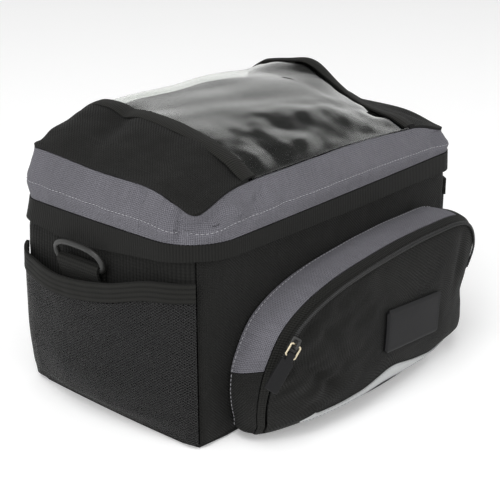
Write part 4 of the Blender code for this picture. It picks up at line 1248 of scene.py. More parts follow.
@dataclass
class Body:
    """The four wall panels and the base."""

    shop: Workshop
    shape: BodyShape
    wall: float = 0.0025
    seam_dent: float = 0.0010
    seam_start: float = 0.955
    dents: tuple[Waves, ...] = (Waves(0.0011, 0.030, 3.1), Waves(0.00055, 0.012, 7.3))

    def relief(self, side: Side, u: float, v: float, point: Vector) -> float:
        """Soft dents, gone at the base and the rim, and the hollow line of each corner seam."""
        share = point.z / self.shape.height
        fade = smoothstep(0.0, 0.12, share) * smoothstep(1.0, 0.86, share)
        dent = sum(w.height * ripple(point, w.size, w.seed + side.value) for w in self.dents) * fade
        seam = smoothstep(self.seam_start, 1.0, abs(u))
        return -abs(dent) - self.seam_dent * seam * fade

    def build(self) -> None:
        """Builds the panels."""
        levels = spread(self.shape.floor + GAP, self.shape.height - GAP, 70)
        nodes = {
            Side.FRONT: ("front_panel", "cloth", 120),
            Side.BACK: ("back_panel", "cloth", 70),
            Side.LEFT: ("side_panel_left", "coarse", 80),
            Side.RIGHT: ("side_panel_right", "coarse", 80),
        }
        for side, (node, use, count) in nodes.items():
            sheet = Sheet.sample(
                lambda u, v, side=side: self.shape.wall(side, u, v),
                along_values(self.shape, side, count, 14),
                levels,
                relief=lambda u, v, p, side=side: self.relief(side, u, v, p),
            )
            self.shop.sheet(f"{node}_cloth", sheet, 0.0, -self.wall, use, node)
        self.build_base()

    def build_base(self) -> None:
        """The base panel, with a rounded lower edge."""
        bm = bmesh.new()
        rings = []
        stations = [round(i / 12.0, 5) for i in range(48)]
        for height, inset in ((0.0, 0.0014), (0.0005, 0.0005), (0.0012, 0.0), (self.shape.floor, 0.0)):
            ring = []
            for u in stations:
                point = self.shape.ring(u, 0.0, -inset)
                ring.append(bm.verts.new((point.x, point.y, height)))
            rings.append(ring)
        for low, high in zip(rings, rings[1:]):
            for j in range(len(low)):
                k = (j + 1) % len(low)
                bm.faces.new((low[j], low[k], high[k], high[j]))
        bm.faces.new(rings[0])
        bm.faces.new(rings[-1])
        base = bmesh_object("base_cloth", bm, self.shop.palette["cloth"])
        self.shop.enter(base, "cloth", "base_panel")


@dataclass
class Lid:
    """The grey band, the ribbed skirt, the end panels, the window and its bindings."""

    shop: Workshop
    shape: LidShape
    band_wall: float = 0.0020
    top_wall: float = 0.0016
    window_wall: float = 0.0008
    skirt_wall: float = 0.0016
    binding_width: float = 0.0085
    binding_thickness: float = 0.0015
    stitch_rise: float = 0.36
    dark_from: float = -0.15
    dark_to: float = -0.55
    crinkle: float = 0.0010
    gather: float = 0.0020
    gather_size: float = 0.013
    gather_stretch: float = 0.35
    gather_seed: float = 13.0
    columns: int = 120
    band_waves: Waves = Waves(0.0012, 0.022, 5.0)
    skirt_waves: Waves = Waves(0.0007, 0.020, 1.0)
    panel_waves: tuple[Waves, Waves] = (Waves(0.0021, 0.026, 9.0), Waves(0.0009, 0.010, 2.0))
    window_waves: Waves = Waves(0.0016, 0.030, 4.0)
    binding_creases: tuple[float, float, float] = (0.0004, 0.16, 0.0068)
    backing_depth: tuple[float, float] = (0.0030, 0.0042)
    groove: tuple[float, float] = (0.0005, 0.05)
    ruffles: tuple[Fold, ...] = (
        Fold(-0.985, -0.46, 58.0, 0.24, 0.060, 0.0045),
        Fold(-0.995, -0.66, 112.0, 0.20, 0.060, -0.0040),
        Fold(-0.995, -0.84, 66.0, 0.22, 0.055, 0.0048),
        Fold(-0.90, -1.02, 30.0, 0.26, 0.060, 0.0050),
        Fold(-0.77, -1.02, -24.0, 0.20, 0.050, -0.0036),
        Fold(-0.64, -1.02, 32.0, 0.18, 0.048, 0.0036),
        Fold(0.93, -1.02, 25.0, 0.24, 0.060, 0.0045),
    )

    def band_relief(self, u: float, v: float, point: Vector) -> float:
        """Ruffles at the front corners and soft unevenness along the band."""
        half_w, half_d = self.shape.half_sizes()
        fade = math.sin(math.pi * clamp(v)) ** 0.7
        total = 0.0
        for fold in self.ruffles:
            dx, dy = point.x - fold.across * half_w, point.y - fold.back * half_d
            run = math.hypot(dx, dy) * math.copysign(1.0, dx if abs(fold.back) > 0.9 else dy)
            rise = point.z - self.shape.body.height - 0.6 * self.shape.band_height
            angle = math.radians(fold.heading)
            along = (run * math.cos(angle) + rise * math.sin(angle)) / (fold.length * half_d)
            beside = (rise * math.cos(angle) - run * math.sin(angle)) / (fold.width * half_d)
            total += fold.depth * math.exp(-along * along - beside * beside)
        depth, width = self.groove
        groove = depth * math.exp(-(((v - self.stitch_rise) / width) ** 2))
        gathers = Vector((point.x, point.y, point.z * self.gather_stretch))
        waves = self.gather * ripple(gathers, self.gather_size, self.gather_seed) * smoothstep(1.1, 0.3, v)
        return fade * (self.band_waves.at(point) + waves - total) - groove

    def top_relief(self, u: float, v: float, point: Vector) -> float:
        """Soft creases of the cloth end panels, gone at their edges."""
        edge = min(1.0 - abs(u), 1.0 - abs(v))
        fade = smoothstep(0.0, 0.10, edge)
        return fade * (self.panel_waves[0].at(point) + self.panel_waves[1].at(point))

    def window_relief(self, u: float, v: float, point: Vector) -> float:
        """Long shallow ripples of the vinyl, short creases along its bindings, and small ones in front."""
        half_w, half_d = self.shape.half_sizes()
        reach = self.shape.reach / half_w
        edge = min(1.0 - abs(u) / reach, 1.0 - abs(v))
        fade = smoothstep(0.0, 0.12, edge)
        stretched = Vector((point.x * 0.55, point.y * 1.2 + point.x * 0.25, 0.0))
        spread_in, length = self.binding_creases[1:]
        near = math.exp(-(((1.0 - abs(u) / reach) / spread_in) ** 2))
        creases = self.binding_creases[0] * near * math.sin(point.y / length)
        front = smoothstep(self.dark_from, self.dark_to, v + 0.12 * ripple(point, 0.030, 17.0))
        crinkle = self.crinkle * front * ripple(Vector((point.x * 0.8, point.y, 0.0)), 0.012, 21.0)
        return fade * (self.window_waves.at(stretched) + creases + crinkle)

    def build(self) -> None:
        """Builds the lid's pieces and their stitches."""
        shape = self.shape
        fine = [u + k / self.columns for u in range(4) for k in range(self.columns)]
        band = Sheet.sample(shape.band_point, fine, spread(0.0, 1.0, 34), True, relief=self.band_relief)
        self.shop.sheet("lid_band_cloth", band, 0.0, -self.band_wall, "grey", "lid_band")
        self.shop.stitch_row("lid_band_stitches", band, self.stitch_rise, 0.0001, "thread")
        skirt = Sheet.sample(
            shape.skirt_point, fine, spread(0.0, 1.0, 8), True,
            relief=lambda u, v, p: (1.0 - v) * self.skirt_waves.at(p),
        )
        self.shop.sheet("lid_skirt_tape", skirt, self.skirt_wall, 0.0, "skirt", "lid_skirt")
        self.build_top()

    def build_top(self) -> None:
        """Builds the end panels, the window, the lining under it and the bindings."""
        shape = self.shape
        half_w, half_d = shape.half_sizes()
        edge, end = 1.0 - GAP / half_d, 1.0 - GAP / half_w
        depths = [edge * math.sin(math.pi / 2.0 * share) for share in spread(-1.0, 1.0, 110)]
        reach, slack = shape.reach / half_w, GAP / half_w
        width = self.binding_width / 2.0 / half_w
        low = shape.top_seat + self.top_wall + GAP
        for side, name in ((-1.0, "left"), (1.0, "right")):
            outward = [lerp(reach + slack, end, math.sin(math.pi / 2.0 * t)) for t in spread(0.0, 1.0, 46)]
            columns = sorted(side * value for value in outward)
            panel = Sheet.sample(shape.top_point, columns, depths, relief=self.top_relief)
            seat = shape.top_seat
            self.shop.sheet(
                f"lid_panel_{name}_cloth", panel, seat + self.top_wall, seat, "cloth", f"lid_panel_{name}"
            )
            tape = spread(side * reach - width, side * reach + width, 10)
            binding = Sheet.sample(
                shape.top_point, tape, depths,
                relief=lambda u, v, p, side=side: -0.0007 * (abs(u - side * reach) / width) ** 4,
            )
            top = low + self.binding_thickness
            self.shop.sheet(
                f"window_binding_{name}_tape", binding, top, low, "binding", f"window_binding_{name}"
            )
        across = spread(-reach + slack, reach - slack, 130)
        window = Sheet.sample(shape.top_point, across, depths, relief=self.window_relief)
        seat = shape.top_seat
        self.shop.sheet("map_window_vinyl", window, seat + self.window_wall, seat, "vinyl", "map_window")
        under = Sheet.sample(
            shape.top_point, spread(-reach, reach, 60), depths[2:-2:2], relief=self.window_relief
        )
        near, far = self.backing_depth
        self.shop.sheet("map_window_backing", under, -near, -far, "lining")


@dataclass
class SidePockets:
    """The net pockets with elastic hems, and the strap rings in their webbing tabs."""

    shop: Workshop
    shape: BodyShape
    hem_top: float = 0.1125
    hem_height: float = 0.0125
    hem_thickness: float = 0.0022
    mesh_thickness: float = 0.0010
    bulge: float = 0.0130
    webbing_width: float = 0.038
    webbing_thickness: float = 0.0015
    ring_wire: float = 0.0040
    ring_rise: float = 0.0145
    ring_place: float = 0.016
    ring_below_rim: float = 0.0305
    webbing_drop: float = 0.020
    ring_tilt: float = 14.0
    slack: Waves = Waves(0.0022, 0.034, 6.0)
    hem_waves: Waves = Waves(0.0004, 0.012, 8.0)
    hem_rows: tuple[HemRow, ...] = (
        HemRow(-1.0, 0.0, 0.00),
        HemRow(-0.6, 0.1, 0.40),
        HemRow(-0.15, 0.8, 0.90),
        HemRow(0.35, 1.3, 0.92),
        HemRow(0.75, 1.1, 0.50),
        HemRow(1.0, 0.8, 0.00),
    )
    mesh_rows: tuple[MeshRow, ...] = (
        MeshRow(0.00, 0.00),
        MeshRow(0.12, 0.62),
        MeshRow(0.35, 1.00),
        MeshRow(0.70, 1.00),
        MeshRow(1.00, 1.00),
    )

    def hem_height_at(self, place: float) -> float:
        """The height of the pocket's top edge."""
        return self.hem_top - self.hem_height * read_row(self.hem_rows, "sag", "along", place)

    def pocket_point(self, side: Side, place: float, height: float, bulge: float) -> Vector:
        """A point of a pocket, from the front seam (-1) to the back seam (1)."""
        out = GAP + self.bulge * bulge * max(0.0, read_row(self.hem_rows, "bulge", "along", place))
        return self.shape.wall(side, place if side is Side.RIGHT else -place, height, out)

    def mesh_relief(self, u: float, v: float, point: Vector) -> float:
        """Slack of the net."""
        fade = smoothstep(0.0, 0.15, v) * smoothstep(1.0, 0.9, v) * smoothstep(1.0, 0.8, abs(u))
        return fade * self.slack.at(point)

    def build(self) -> None:
        """Builds both ends."""
        for side, name in ((Side.LEFT, "left"), (Side.RIGHT, "right")):
            flip = 1.0 if side is Side.RIGHT else -1.0
            low = self.shape.floor + GAP

            def mesh_point(u: float, v: float, side: Side = side, flip: float = flip) -> Vector:
                """The net's outer face."""
                place = flip * u
                height = lerp(low, self.hem_height_at(place) - self.hem_height - GAP, v)
                return self.pocket_point(side, place, height, read_row(self.mesh_rows, "bulge", "up", v))

            def hem_point(u: float, v: float, side: Side = side, flip: float = flip) -> Vector:
                """The hem's inner face."""
                place = flip * u
                height = self.hem_height_at(place) - self.hem_height * (1.0 - v)
                return self.pocket_point(side, place, height, 1.0 - 0.14 * v)

            us = along_values(self.shape, side, 60, 12)
            net = Sheet.sample(mesh_point, us, spread(0.0, 1.0, 50), relief=self.mesh_relief)
            self.shop.sheet(
                f"mesh_pocket_{name}_net", net, self.mesh_thickness, 0.0, "net", f"mesh_pocket_{name}"
            )
            hem = Sheet.sample(
                hem_point, us, spread(0.0, 1.0, 12),
                relief=lambda u, v, p: self.hem_waves.at(p),
            )
            self.shop.sheet(
                f"pocket_hem_{name}_elastic", hem, self.hem_thickness, 0.0, "hem", f"pocket_hem_{name}"
            )
            self.build_ring(side, name)

    def build_ring(self, side: Side, name: str) -> None:
        """A D-shaped ring and the webbing that holds it."""
        side_x = 1.0 if side is Side.RIGHT else -1.0
        bar = self.shape.height - self.ring_below_rim
        reach = max(
            abs(self.shape.wall_at(side, self.ring_place + share * self.webbing_width, height).x)
            for share in (-0.5, -0.25, 0.0, 0.5)
            for height in (bar - self.webbing_drop, bar)
        )
        seat = Vector((side_x * (reach + GAP), self.ring_place, bar))
        self.build_tab(seat, side_x, name)
        half = self.webbing_width / 2.0 + 2.0 * GAP + self.ring_wire / 2.0
        corner = self.ring_wire
        points = []
        for angle in spread(0.0, math.pi, 48):
            y, z = math.cos(angle), math.sin(angle)
            stretch = 1.0 / (abs(y) ** 2.6 + abs(z) ** 2.6) ** (1.0 / 2.6)
            points.append(Vector((0.0, half * y * stretch, corner + (self.ring_rise - corner) * z * stretch)))
        for centre_y, start in ((-half + corner, math.pi), (half - corner, 1.5 * math.pi)):
            for angle in spread(start, start + math.pi / 2.0, 8)[(1 if start < 4.0 else 0):]:
                y = centre_y + corner * math.cos(angle)
                points.append(Vector((0.0, y, corner + corner * math.sin(angle))))
        ring = wire_loop(f"d_ring_{name}_plastic", points[:-1], self.ring_wire, self.shop.palette["plastic"])
        radius = self.ring_wire / 2.0 + GAP + self.webbing_thickness / 2.0
        hub = seat + Vector((side_x * (self.webbing_thickness / 2.0 + radius), 0.0, 0.0))
        tilt = Matrix.Rotation(side_x * math.radians(self.ring_tilt), 4, "Y")
        ring.matrix_world = Matrix.Translation(hub) @ tilt
        self.shop.enter(ring, "plastic", f"d_ring_{name}")

    def build_tab(self, seat: Vector, side_x: float, name: str) -> None:
        """Webbing that comes up from the wall, over the ring's bar, and back down."""
        half = self.webbing_thickness / 2.0
        radius = self.ring_wire / 2.0 + GAP + half
        drop = self.webbing_drop
        path = [(half, -drop), (half, -0.3 * drop), (half, 0.0)]
        for angle in spread(math.pi, 0.0, 20)[1:]:
            path.append((half + radius + radius * math.cos(angle), radius * math.sin(angle)))
        flat = 3.0 * half + 2.0 * GAP
        path += [(half + 1.7 * radius, -0.2 * drop), (flat, -0.6 * drop), (flat, -drop)]
        points = np.zeros((len(path), 24, 3))
        for i, (out, up) in enumerate(path):
            for j, y in enumerate(spread(-0.5, 0.5, 23)):
                points[i, j] = (side_x * out, y * self.webbing_width, up)
        points += np.array(seat[:])
        tab = Sheet(points, np.zeros_like(points))
        tab.update_normals(side_x)
        self.shop.sheet(f"ring_tab_{name}_webbing", tab, half, -half, "webbing", f"ring_tab_{name}")


@dataclass
class FrontPocket:
    """The zipped front pocket and everything on it."""

    shop: Workshop
    shape: PocketShape
    wall: float = 0.0018
    grey_from: float = 2.50
    grey_to: float = 7.85
    grey_lean: float = 0.40
    zip_from: float = 2.75
    zip_to: float = 9.6
    slider_at: float = 3.65
    strip_from: float = 12.4
    strip_to: float = 16.2
    zip_width: float = 0.0042
    zip_thickness: float = 0.0014
    strip_width: float = 0.012
    strip_line_right: float = 0.0020
    strip_line_left: float = 0.0240
    strip_thickness: float = 0.0006
    label_size: tuple[float, float, float] = (0.062, 0.027, 0.0020)
    label_place: tuple[float, float] = (0.0195, 0.0515)
    label_tilt: float = -5.0
    label_seat: float = 0.0006
    label_margin: float = 0.010
    station_step: float = 0.04
    stitch_rise: float = 0.09
    slider_size: tuple[float, float, float] = (0.0095, 0.0070, 0.0032)
    pull_wire: float = 0.0014
    pull_size: tuple[float, float] = (0.0090, 0.0095)
    tab_size: tuple[float, float, float] = (0.0240, 0.0100, 0.0034)
    neck: tuple[float, float] = (0.0052, 0.0050)
    normal_step: float = 0.09
    last_ring: float = 2.999
    coil_pitch: float = 0.0013
    coil_radius: float = 0.00042
    coil_reach: float = 0.0015
    coil_lift: float = 0.0009
    slider_bevel: float = 0.0012
    bridge_sink: float = 0.0004
    bridge_bores: float = 1.9
    bridge_share: float = 0.34
    bridge_half: float = 0.15
    bridge_wall: float = 0.0007
    tab_bevel: float = 0.0010
    neck_bevel: float = 0.0008
    neck_overlap: float = 0.002
    gusset_waves: Waves = Waves(0.0014, 0.024, 2.5)
    crease_waves: Waves = Waves(0.0034, 0.020, 12.0)
    swell_waves: tuple[Waves, Waves] = (Waves(0.0014, 0.036, 11.0), Waves(0.0005, 0.011, 1.5))

    def lean_over(self, u: float, w: float) -> float:
        """A station moved along near the grey part's lower left end, more the nearer it is to the edge."""
        half = len(self.shape.stations) / 2.0
        away = abs((u - self.grey_from + half) % (2.0 * half) - half)
        return u + self.grey_lean * clamp(w) * max(0.0, 1.0 - away)

    def skin(
        self,
        us: Sequence[float],
        ws: Callable[[StationSeat], Sequence[float]],
        closed: bool = False,
        relief: Relief | None = None,
        leaning: bool = False,
    ) -> Sheet:
        """Samples the pocket's skin.

        Args:
            us: Station values for the columns.
            ws: The rows at a station, as places between the skin's lines.
            closed: The last column joins the first.
            relief: How far each point moves along its normal.
            leaning: The columns lean over with the grey part's end.

        Returns:
            The sheet, with normals eased over the seams.
        """
        rows = [ws(self.shape.seat_at(u)) for u in us]
        count = len(rows[0])

        def layer(shift: float) -> np.ndarray:
            """The skin's points, with every row moved by this much."""
            made = np.zeros((count, len(us), 3))
            for j, u in enumerate(us):
                for i, w in enumerate(rows[j]):
                    seat = self.shape.seat_at(self.lean_over(u, w) if leaning else u)
                    made[i, j] = self.shape.on_seat(seat, w + shift)
            return made

        points, lower, upper = layer(0.0), layer(-self.normal_step), layer(self.normal_step)
        if closed:
            along = np.roll(points, -1, axis=1) - np.roll(points, 1, axis=1)
        else:
            along = np.gradient(points, axis=1)
        cross = -np.cross(along, upper - lower)
        size = np.linalg.norm(cross, axis=2, keepdims=True)
        normals = np.where(size > 1e-12, cross / np.maximum(size, 1e-12), np.array([0.0, -1.0, 0.0]))
        sheet = Sheet(points, normals, closed)
        if relief is not None:
            moves = np.array(
                [
                    [relief(us[j], rows[j][i], Vector(points[i, j])) for j in range(len(us))]
                    for i in range(count)
                ]
            )
            sheet.points = points + normals * moves[:, :, None]
        return sheet

    def band_rows(self, part: int, count: int) -> Callable[[StationSeat], list[float]]:
        """Rows between two lines of the skin, kept clear of both."""

        def rows(seat: StationSeat) -> list[float]:
            """The rows at this station."""
            ends = {0: (seat.seam, seat.edge), 1: (seat.edge, seat.line)}[part]
            slack = GAP / (ends[1] - ends[0]).length
            return spread(part + slack, part + 1.0 - slack, count)

        return rows

    def gusset_relief(self, u: float, w: float, point: Vector) -> float:
        """Soft unevenness of the gusset."""
        fade = math.sin(math.pi * clamp(w))
        return fade * self.gusset_waves.at(point)

    def front_relief(self, u: float, w: float, point: Vector) -> float:
        """Creases of the front, strongest on the left where the zip turns down."""
        share = clamp(w - 2.0)
        fade = smoothstep(0.0, 0.10, share)
        left = smoothstep(0.02, -0.08, point.x)
        slanted = Vector((point.x * 0.9 + point.z * 0.5, 0.0, (point.z - point.x * 0.5) * 2.2))
        above = smoothstep(0.016, 0.040, point.z)
        creases = left * above * self.crease_waves.at(slanted)
        off_x = abs(point.x - self.label_place[0]) - self.label_size[0] / 2.0
        off_z = abs(point.z - self.label_place[1]) - self.label_size[1] / 2.0
        away = smoothstep(self.label_margin / 2.0, self.label_margin, max(off_x, off_z))
        swell = self.swell_waves[0].at(point) + above * self.swell_waves[1].at(point)
        return fade * away * (creases + swell)

    def build(self) -> None:
        """Builds the pocket."""
        count = len(self.shape.stations)
        slack = GAP / self.station_step
        parts = (
            ("grey", self.grey_from + slack, self.grey_to - slack, "grey"),
            ("black", self.grey_to + slack, self.grey_from + count - slack, "cloth"),
        )
        for name, first, last, use in parts:
            gusset = self.skin(
                spread(first, last, 220), self.band_rows(0, 26), relief=self.gusset_relief, leaning=True
            )
            self.shop.sheet(
                f"pocket_gusset_{name}_cloth", gusset, 0.0, -self.wall, use, f"pocket_gusset_{name}"
            )
            self.shop.stitch_row(f"gusset_{name}_stitches", gusset, self.stitch_rise, 0.0002, "thread")
        ring = spread(0.0, count, 420)[:-1]
        tape = self.skin(ring, self.band_rows(1, 12), True)
        self.shop.sheet("pocket_zip_tape_cloth", tape, 0.0, -self.wall, "zip_tape", "pocket_zip_tape")
        start = GAP / (self.shape.height / 2.0)
        shares = [1.0 - math.cos(math.pi / 2.0 * t) for t in spread(0.0, 1.0, 60)]
        inward = [2.0 + start + (1.0 - start) * share for share in shares]
        inward[-1] = self.last_ring
        front = self.skin(ring, lambda seat: inward, True, self.front_relief)
        self.shop.enter(self.disc(front), "cloth", "pocket_front_panel")
        self.build_zip()
        self.build_strip()
        self.build_label()

    def disc(self, sheet: Sheet) -> bpy.types.Object:
        """The front panel, whose last ring closes on a middle point."""
        obj = sheet.build("pocket_front_cloth", 0.0, -self.wall, self.shop.palette["cloth"])
        bm = bmesh.new()
        bm.from_mesh(obj.data)
        rows, columns = sheet.points.shape[:2]
        outer = (rows - 1) * columns
        inner = outer + rows * columns - (columns - 1)
        for first in (outer, inner):
            bm.verts.ensure_lookup_table()
            ring = [bm.verts[first + j] for j in range(columns)]
            bmesh.ops.pointmerge(bm, verts=ring, merge_co=sum((v.co for v in ring), Vector()) / columns)
        bm.to_mesh(obj.data)
        bm.free()
        return obj

    def line_rows(self, seat: StationSeat, near: float, far: float, count: int) -> list[float]:
        """Rows at distances from the zip line, in metres towards the middle."""
        outer = (seat.line - seat.edge).length
        places = spread(2.0, 2.7, 35)
        points = np.array([self.shape.on_seat(seat, place)[:] for place in places])
        runs = np.concatenate([[0.0], np.cumsum(np.linalg.norm(np.diff(points, axis=0), axis=1))])
        return [
            2.0 + distance / outer if distance < 0.0 else float(np.interp(distance, runs, places))
            for distance in spread(near, far, count)
        ]

    def pull_axes(self) -> tuple[Vector, Vector, Vector, Vector]:
        """Where the slider sits, and the zip's, the sideways and the outward directions there."""
        place = self.shape.point(self.slider_at, 2.0)
        along = self.shape.point(self.slider_at + 0.02, 2.0) - self.shape.point(self.slider_at - 0.02, 2.0)
        up = self.shape.point(self.slider_at, 2.09) - self.shape.point(self.slider_at, 1.91)
        normal = -along.cross(up).normalized()
        down = self.shape.point(self.slider_at - 0.2, 2.0) - self.shape.point(self.slider_at + 0.2, 2.0)
        down = (down - normal * down.dot(normal)).normalized()
        return place, down, normal.cross(down), normal

    def build_zip(self) -> None:
        """The coil, the slider, the wire loop and the rubber pull."""
        us = spread(self.zip_from, self.zip_to, 360)
        half = self.zip_width / 2.0
        bed = self.skin(us, lambda seat: self.line_rows(seat, -half, half, 6))
        self.shop.sheet("zip_bed", bed, GAP + 0.0004, GAP, "zip_tape", "zip_chain")
        self.build_coil(bed)
        place, down, across, normal = self.pull_axes()
        bore = self.pull_wire + 2.0 * GAP
        length, width, thickness = self.slider_size
        base = place + normal * (3.0 * GAP + self.zip_thickness + thickness / 2.0)
        axes = frame_matrix(base, down, across, normal)
        self.build_slider(axes, bore)
        hub = base + normal * (thickness / 2.0 + 0.7 * bore)
        wire = self.pull_wire / 2.0
        half, corner = self.pull_size[0] / 2.0 - wire, 1.6 * wire
        reach = self.pull_size[1] - self.pull_wire
        points = []
        for end, side, start in ((0.0, 1.0, 0.5), (0.0, -1.0, 1.0), (1.0, -1.0, 1.5), (1.0, 1.0, 2.0)):
            centre_x = lerp(corner, reach - corner, end)
            centre_y = side * (half - corner)
            for angle in spread(start * math.pi, (start + 0.5) * math.pi, 8):
                points.append(
                    Vector((centre_x + corner * math.cos(angle), centre_y + corner * math.sin(angle), 0.0))
                )
        loop = wire_loop("pull_loop_wire", points, self.pull_wire, self.shop.palette["brass"])
        loop.matrix_world = frame_matrix(hub, down, across, normal)
        self.shop.enter(loop, "brass", "pull_loop")
        self.build_tab(frame_matrix(hub + down * reach, down, across, normal))

    def build_coil(self, bed: Sheet) -> None:
        """Two rows of short coil turns along the zip, as one mesh."""
        middle = bed.points.shape[0] // 2
        line, normal = bed.points[middle], bed.normals[middle]
        side = bed.points[-1] - bed.points[0]
        side /= np.linalg.norm(side, axis=1, keepdims=True)
        steps = np.linalg.norm(np.diff(line, axis=0), axis=1)
        lengths = np.concatenate([[0.0], np.cumsum(steps)])
        vertices: list[tuple[float, float, float]] = []
        faces: list[tuple[int, ...]] = []
        pitch, radius, reach = self.coil_pitch, self.coil_radius, self.coil_reach
        for k in range(int(lengths[-1] / pitch)):
            place = (k + 0.5) * pitch
            point, up, across = (
                Vector([float(np.interp(place, lengths, data[:, i])) for i in range(3)])
                for data in (line, normal, side)
            )
            along = up.cross(across).normalized()
            for sign in (-1.0, 1.0):
                first = len(vertices)
                centre = point + along * (pitch * 0.25 * sign)
                for i, t in enumerate((-0.15, 0.5, 1.0)):
                    lift = GAP + self.coil_lift + (0.0001 if i == 1 else -0.0002)
                    for j in range(6):
                        angle = j * math.pi / 3.0
                        ring = along * (math.cos(angle) * radius) + up * (math.sin(angle) * radius + lift)
                        vertices.append((centre + across * (sign * reach * t) + ring)[:])
                for i in range(2):
                    for j in range(6):
                        a, b = first + i * 6 + j, first + i * 6 + (j + 1) % 6
                        faces.append((a, b, b + 6, a + 6))
                faces.append(tuple(first + j for j in range(6)))
                faces.append(tuple(first + 12 + j for j in reversed(range(6))))
        mesh = bpy.data.meshes.new("zip_coil")
        mesh.from_pydata(vertices, [], faces)
        self.shop.enter(finish_mesh("zip_coil", mesh, self.shop.palette["coil"], 180.0), "coil")

    def build_slider(self, axes: Matrix, bore: float) -> None:
        """The slider's plate and the bridge that holds the loop."""
        length, width, thickness = self.slider_size
        plate = rounded_box(
            "slider_plate", (length, width, thickness), self.slider_bevel, self.shop.palette["plastic"]
        )
        plate.matrix_world = axes
        self.shop.enter(plate, "plastic", "zip_slider")
        rise = thickness / 2.0 - self.bridge_sink
        arch = []
        for angle in spread(0.0, math.pi, 18):
            height = self.bridge_bores * bore * math.sin(angle) ** 0.7
            arch.append((self.bridge_share * length * math.cos(angle), rise + height))
        points = np.zeros((len(arch), 5, 3))
        for i, (x, z) in enumerate(arch):
            for j, y in enumerate(spread(-self.bridge_half, self.bridge_half, 4)):
                points[i, j] = (x, y * width, z)
        bridge = Sheet(points, np.zeros_like(points))
        bridge.update_normals(1.0)
        obj = bridge.build("slider_bridge", 0.0, -self.bridge_wall, self.shop.palette["plastic"])
        obj.matrix_world = axes
        self.shop.enter(obj, "plastic")

    def build_tab(self, axes: Matrix) -> None:
        """The bare rubber pull: a rounded body, and a neck round the wire."""
        length, width, thickness = self.tab_size
        neck_width, neck_length = self.neck
        back = neck_length / 2.0
        body = rounded_box(
            "pull_tab_rubber",
            (length - back, width, thickness * 0.8),
            self.tab_bevel,
            self.shop.palette["rubber"],
        )
        body.matrix_world = axes @ Matrix.Translation(Vector(((length + back) / 2.0, 0.0, 0.0)))
        self.shop.enter(body, "rubber", "pull_tab")
        neck = rounded_box(
            "pull_tab_neck",
            (neck_length + self.neck_overlap, neck_width, thickness),
            self.neck_bevel,
            self.shop.palette["rubber"],
        )
        neck.matrix_world = axes @ Matrix.Translation(Vector((0.0008, 0.0, 0.0)))
        self.shop.enter(neck, "rubber")

    def build_strip(self) -> None:
        """The reflective strip along the front's lower edge, with a stitched border."""
        us = spread(self.strip_from, self.strip_to, 150)
        nears = iter(spread(self.strip_line_right, self.strip_line_left, len(us) - 1))

        def rows(seat: StationSeat) -> list[float]:
            """The rows at the next station, further from the zip line each time."""
            near = next(nears)
            return self.line_rows(seat, near, near + self.strip_width, 12)

        strip = self.skin(us, rows, relief=self.front_relief)
        top = GAP + self.strip_thickness
        self.shop.sheet("reflective_strip_tape", strip, top, GAP, "strip", "reflective_strip")
        self.shop.stitch_row("strip_stitches_low", strip, 0.10, top, "thread")
        self.shop.stitch_row("strip_stitches_high", strip, 0.90, top, "thread")

    def build_label(self) -> None:
        """The bare rubber label, bent to the front, with a raised rim."""
        bearings = []
        count = len(self.shape.stations)
        for u in spread(0.0, count, count * 8)[:-1]:
            line = self.shape.point(u, 2.0)
            dx, dz = line.x - self.shape.offset, line.z - self.shape.middle
            bearings.append((math.atan2(dz, dx), u, math.hypot(dx, dz)))
        bearings.sort()
        width, height, thickness = self.label_size
        turn = math.radians(self.label_tilt)

        def surface(u: float, v: float) -> Vector:
            """The front's point under this place of the label."""
            along, up = u * width / 2.0, v * height / 2.0
            x = self.label_place[0] + along * math.cos(turn) - up * math.sin(turn)
            z = self.label_place[1] + along * math.sin(turn) + up * math.cos(turn)
            dx, dz = x - self.shape.offset, z - self.shape.middle
            angle = math.atan2(dz, dx)
            i = sum(1 for row in bearings if row[0] < angle)
            low, high = bearings[i - 1], bearings[i % len(bearings)]
            part = ((angle - low[0]) % math.tau) / ((high[0] - low[0]) % math.tau)
            step = (high[1] - low[1] + count / 2.0) % count - count / 2.0
            share = clamp(1.0 - math.hypot(dx, dz) / lerp(low[2], high[2], part))
            return self.shape.point(low[1] + part * step, 2.0 + share)

        def rim(u: float, v: float, point: Vector) -> float:
            """A raised rim round the label."""
            edge = min((1.0 - abs(u)) * width / 2.0, (1.0 - abs(v)) * height / 2.0)
            return 0.0004 * smoothstep(0.0018, 0.0010, edge) - 0.0006 * smoothstep(0.0005, 0.0, edge)

        label = Sheet.sample(surface, spread(-1.0, 1.0, 70), spread(-1.0, 1.0, 34), relief=rim)
        top = self.label_seat + thickness
        self.shop.sheet("rubber_label_patch", label, top, self.label_seat - 0.0006, "rubber", "rubber_label")


@dataclass(frozen=True)
class Mount:
    """The plate and block on the back, which keep their CAD shape."""

    nodes: tuple[str, ...] = ("mount_plate", "mount_block")

    def dress(self, frame: dict, palette: Palette) -> None:
        """Gives the CAD nodes their material."""
        for name in self.nodes:
            node = frame["nodes"][name]
            node.data.materials.clear()
            node.data.materials.append(palette["plastic"])


@dataclass(frozen=True)
class Lamp:
    """One soft box.

    Attributes:
        name: Its name.
        place: Where it stands, in metres from the bag.
        size: Its width and height.
        power: Its power in watts.
    """

    name: str
    place: tuple[float, float, float]
    size: tuple[float, float]
    power: float

    def build(self, aim: Vector) -> None:
        """Adds the lamp, facing the aim."""
        light = bpy.data.lights.new(self.name, "AREA")
        light.shape = "RECTANGLE"
        light.size, light.size_y = self.size
        light.energy = self.power
        obj = bpy.data.objects.new(self.name, light)
        obj.location = self.place
        obj.rotation_euler = (aim - Vector(self.place)).to_track_quat("-Z", "Y").to_euler()
        bpy.context.scene.collection.objects.link(obj)


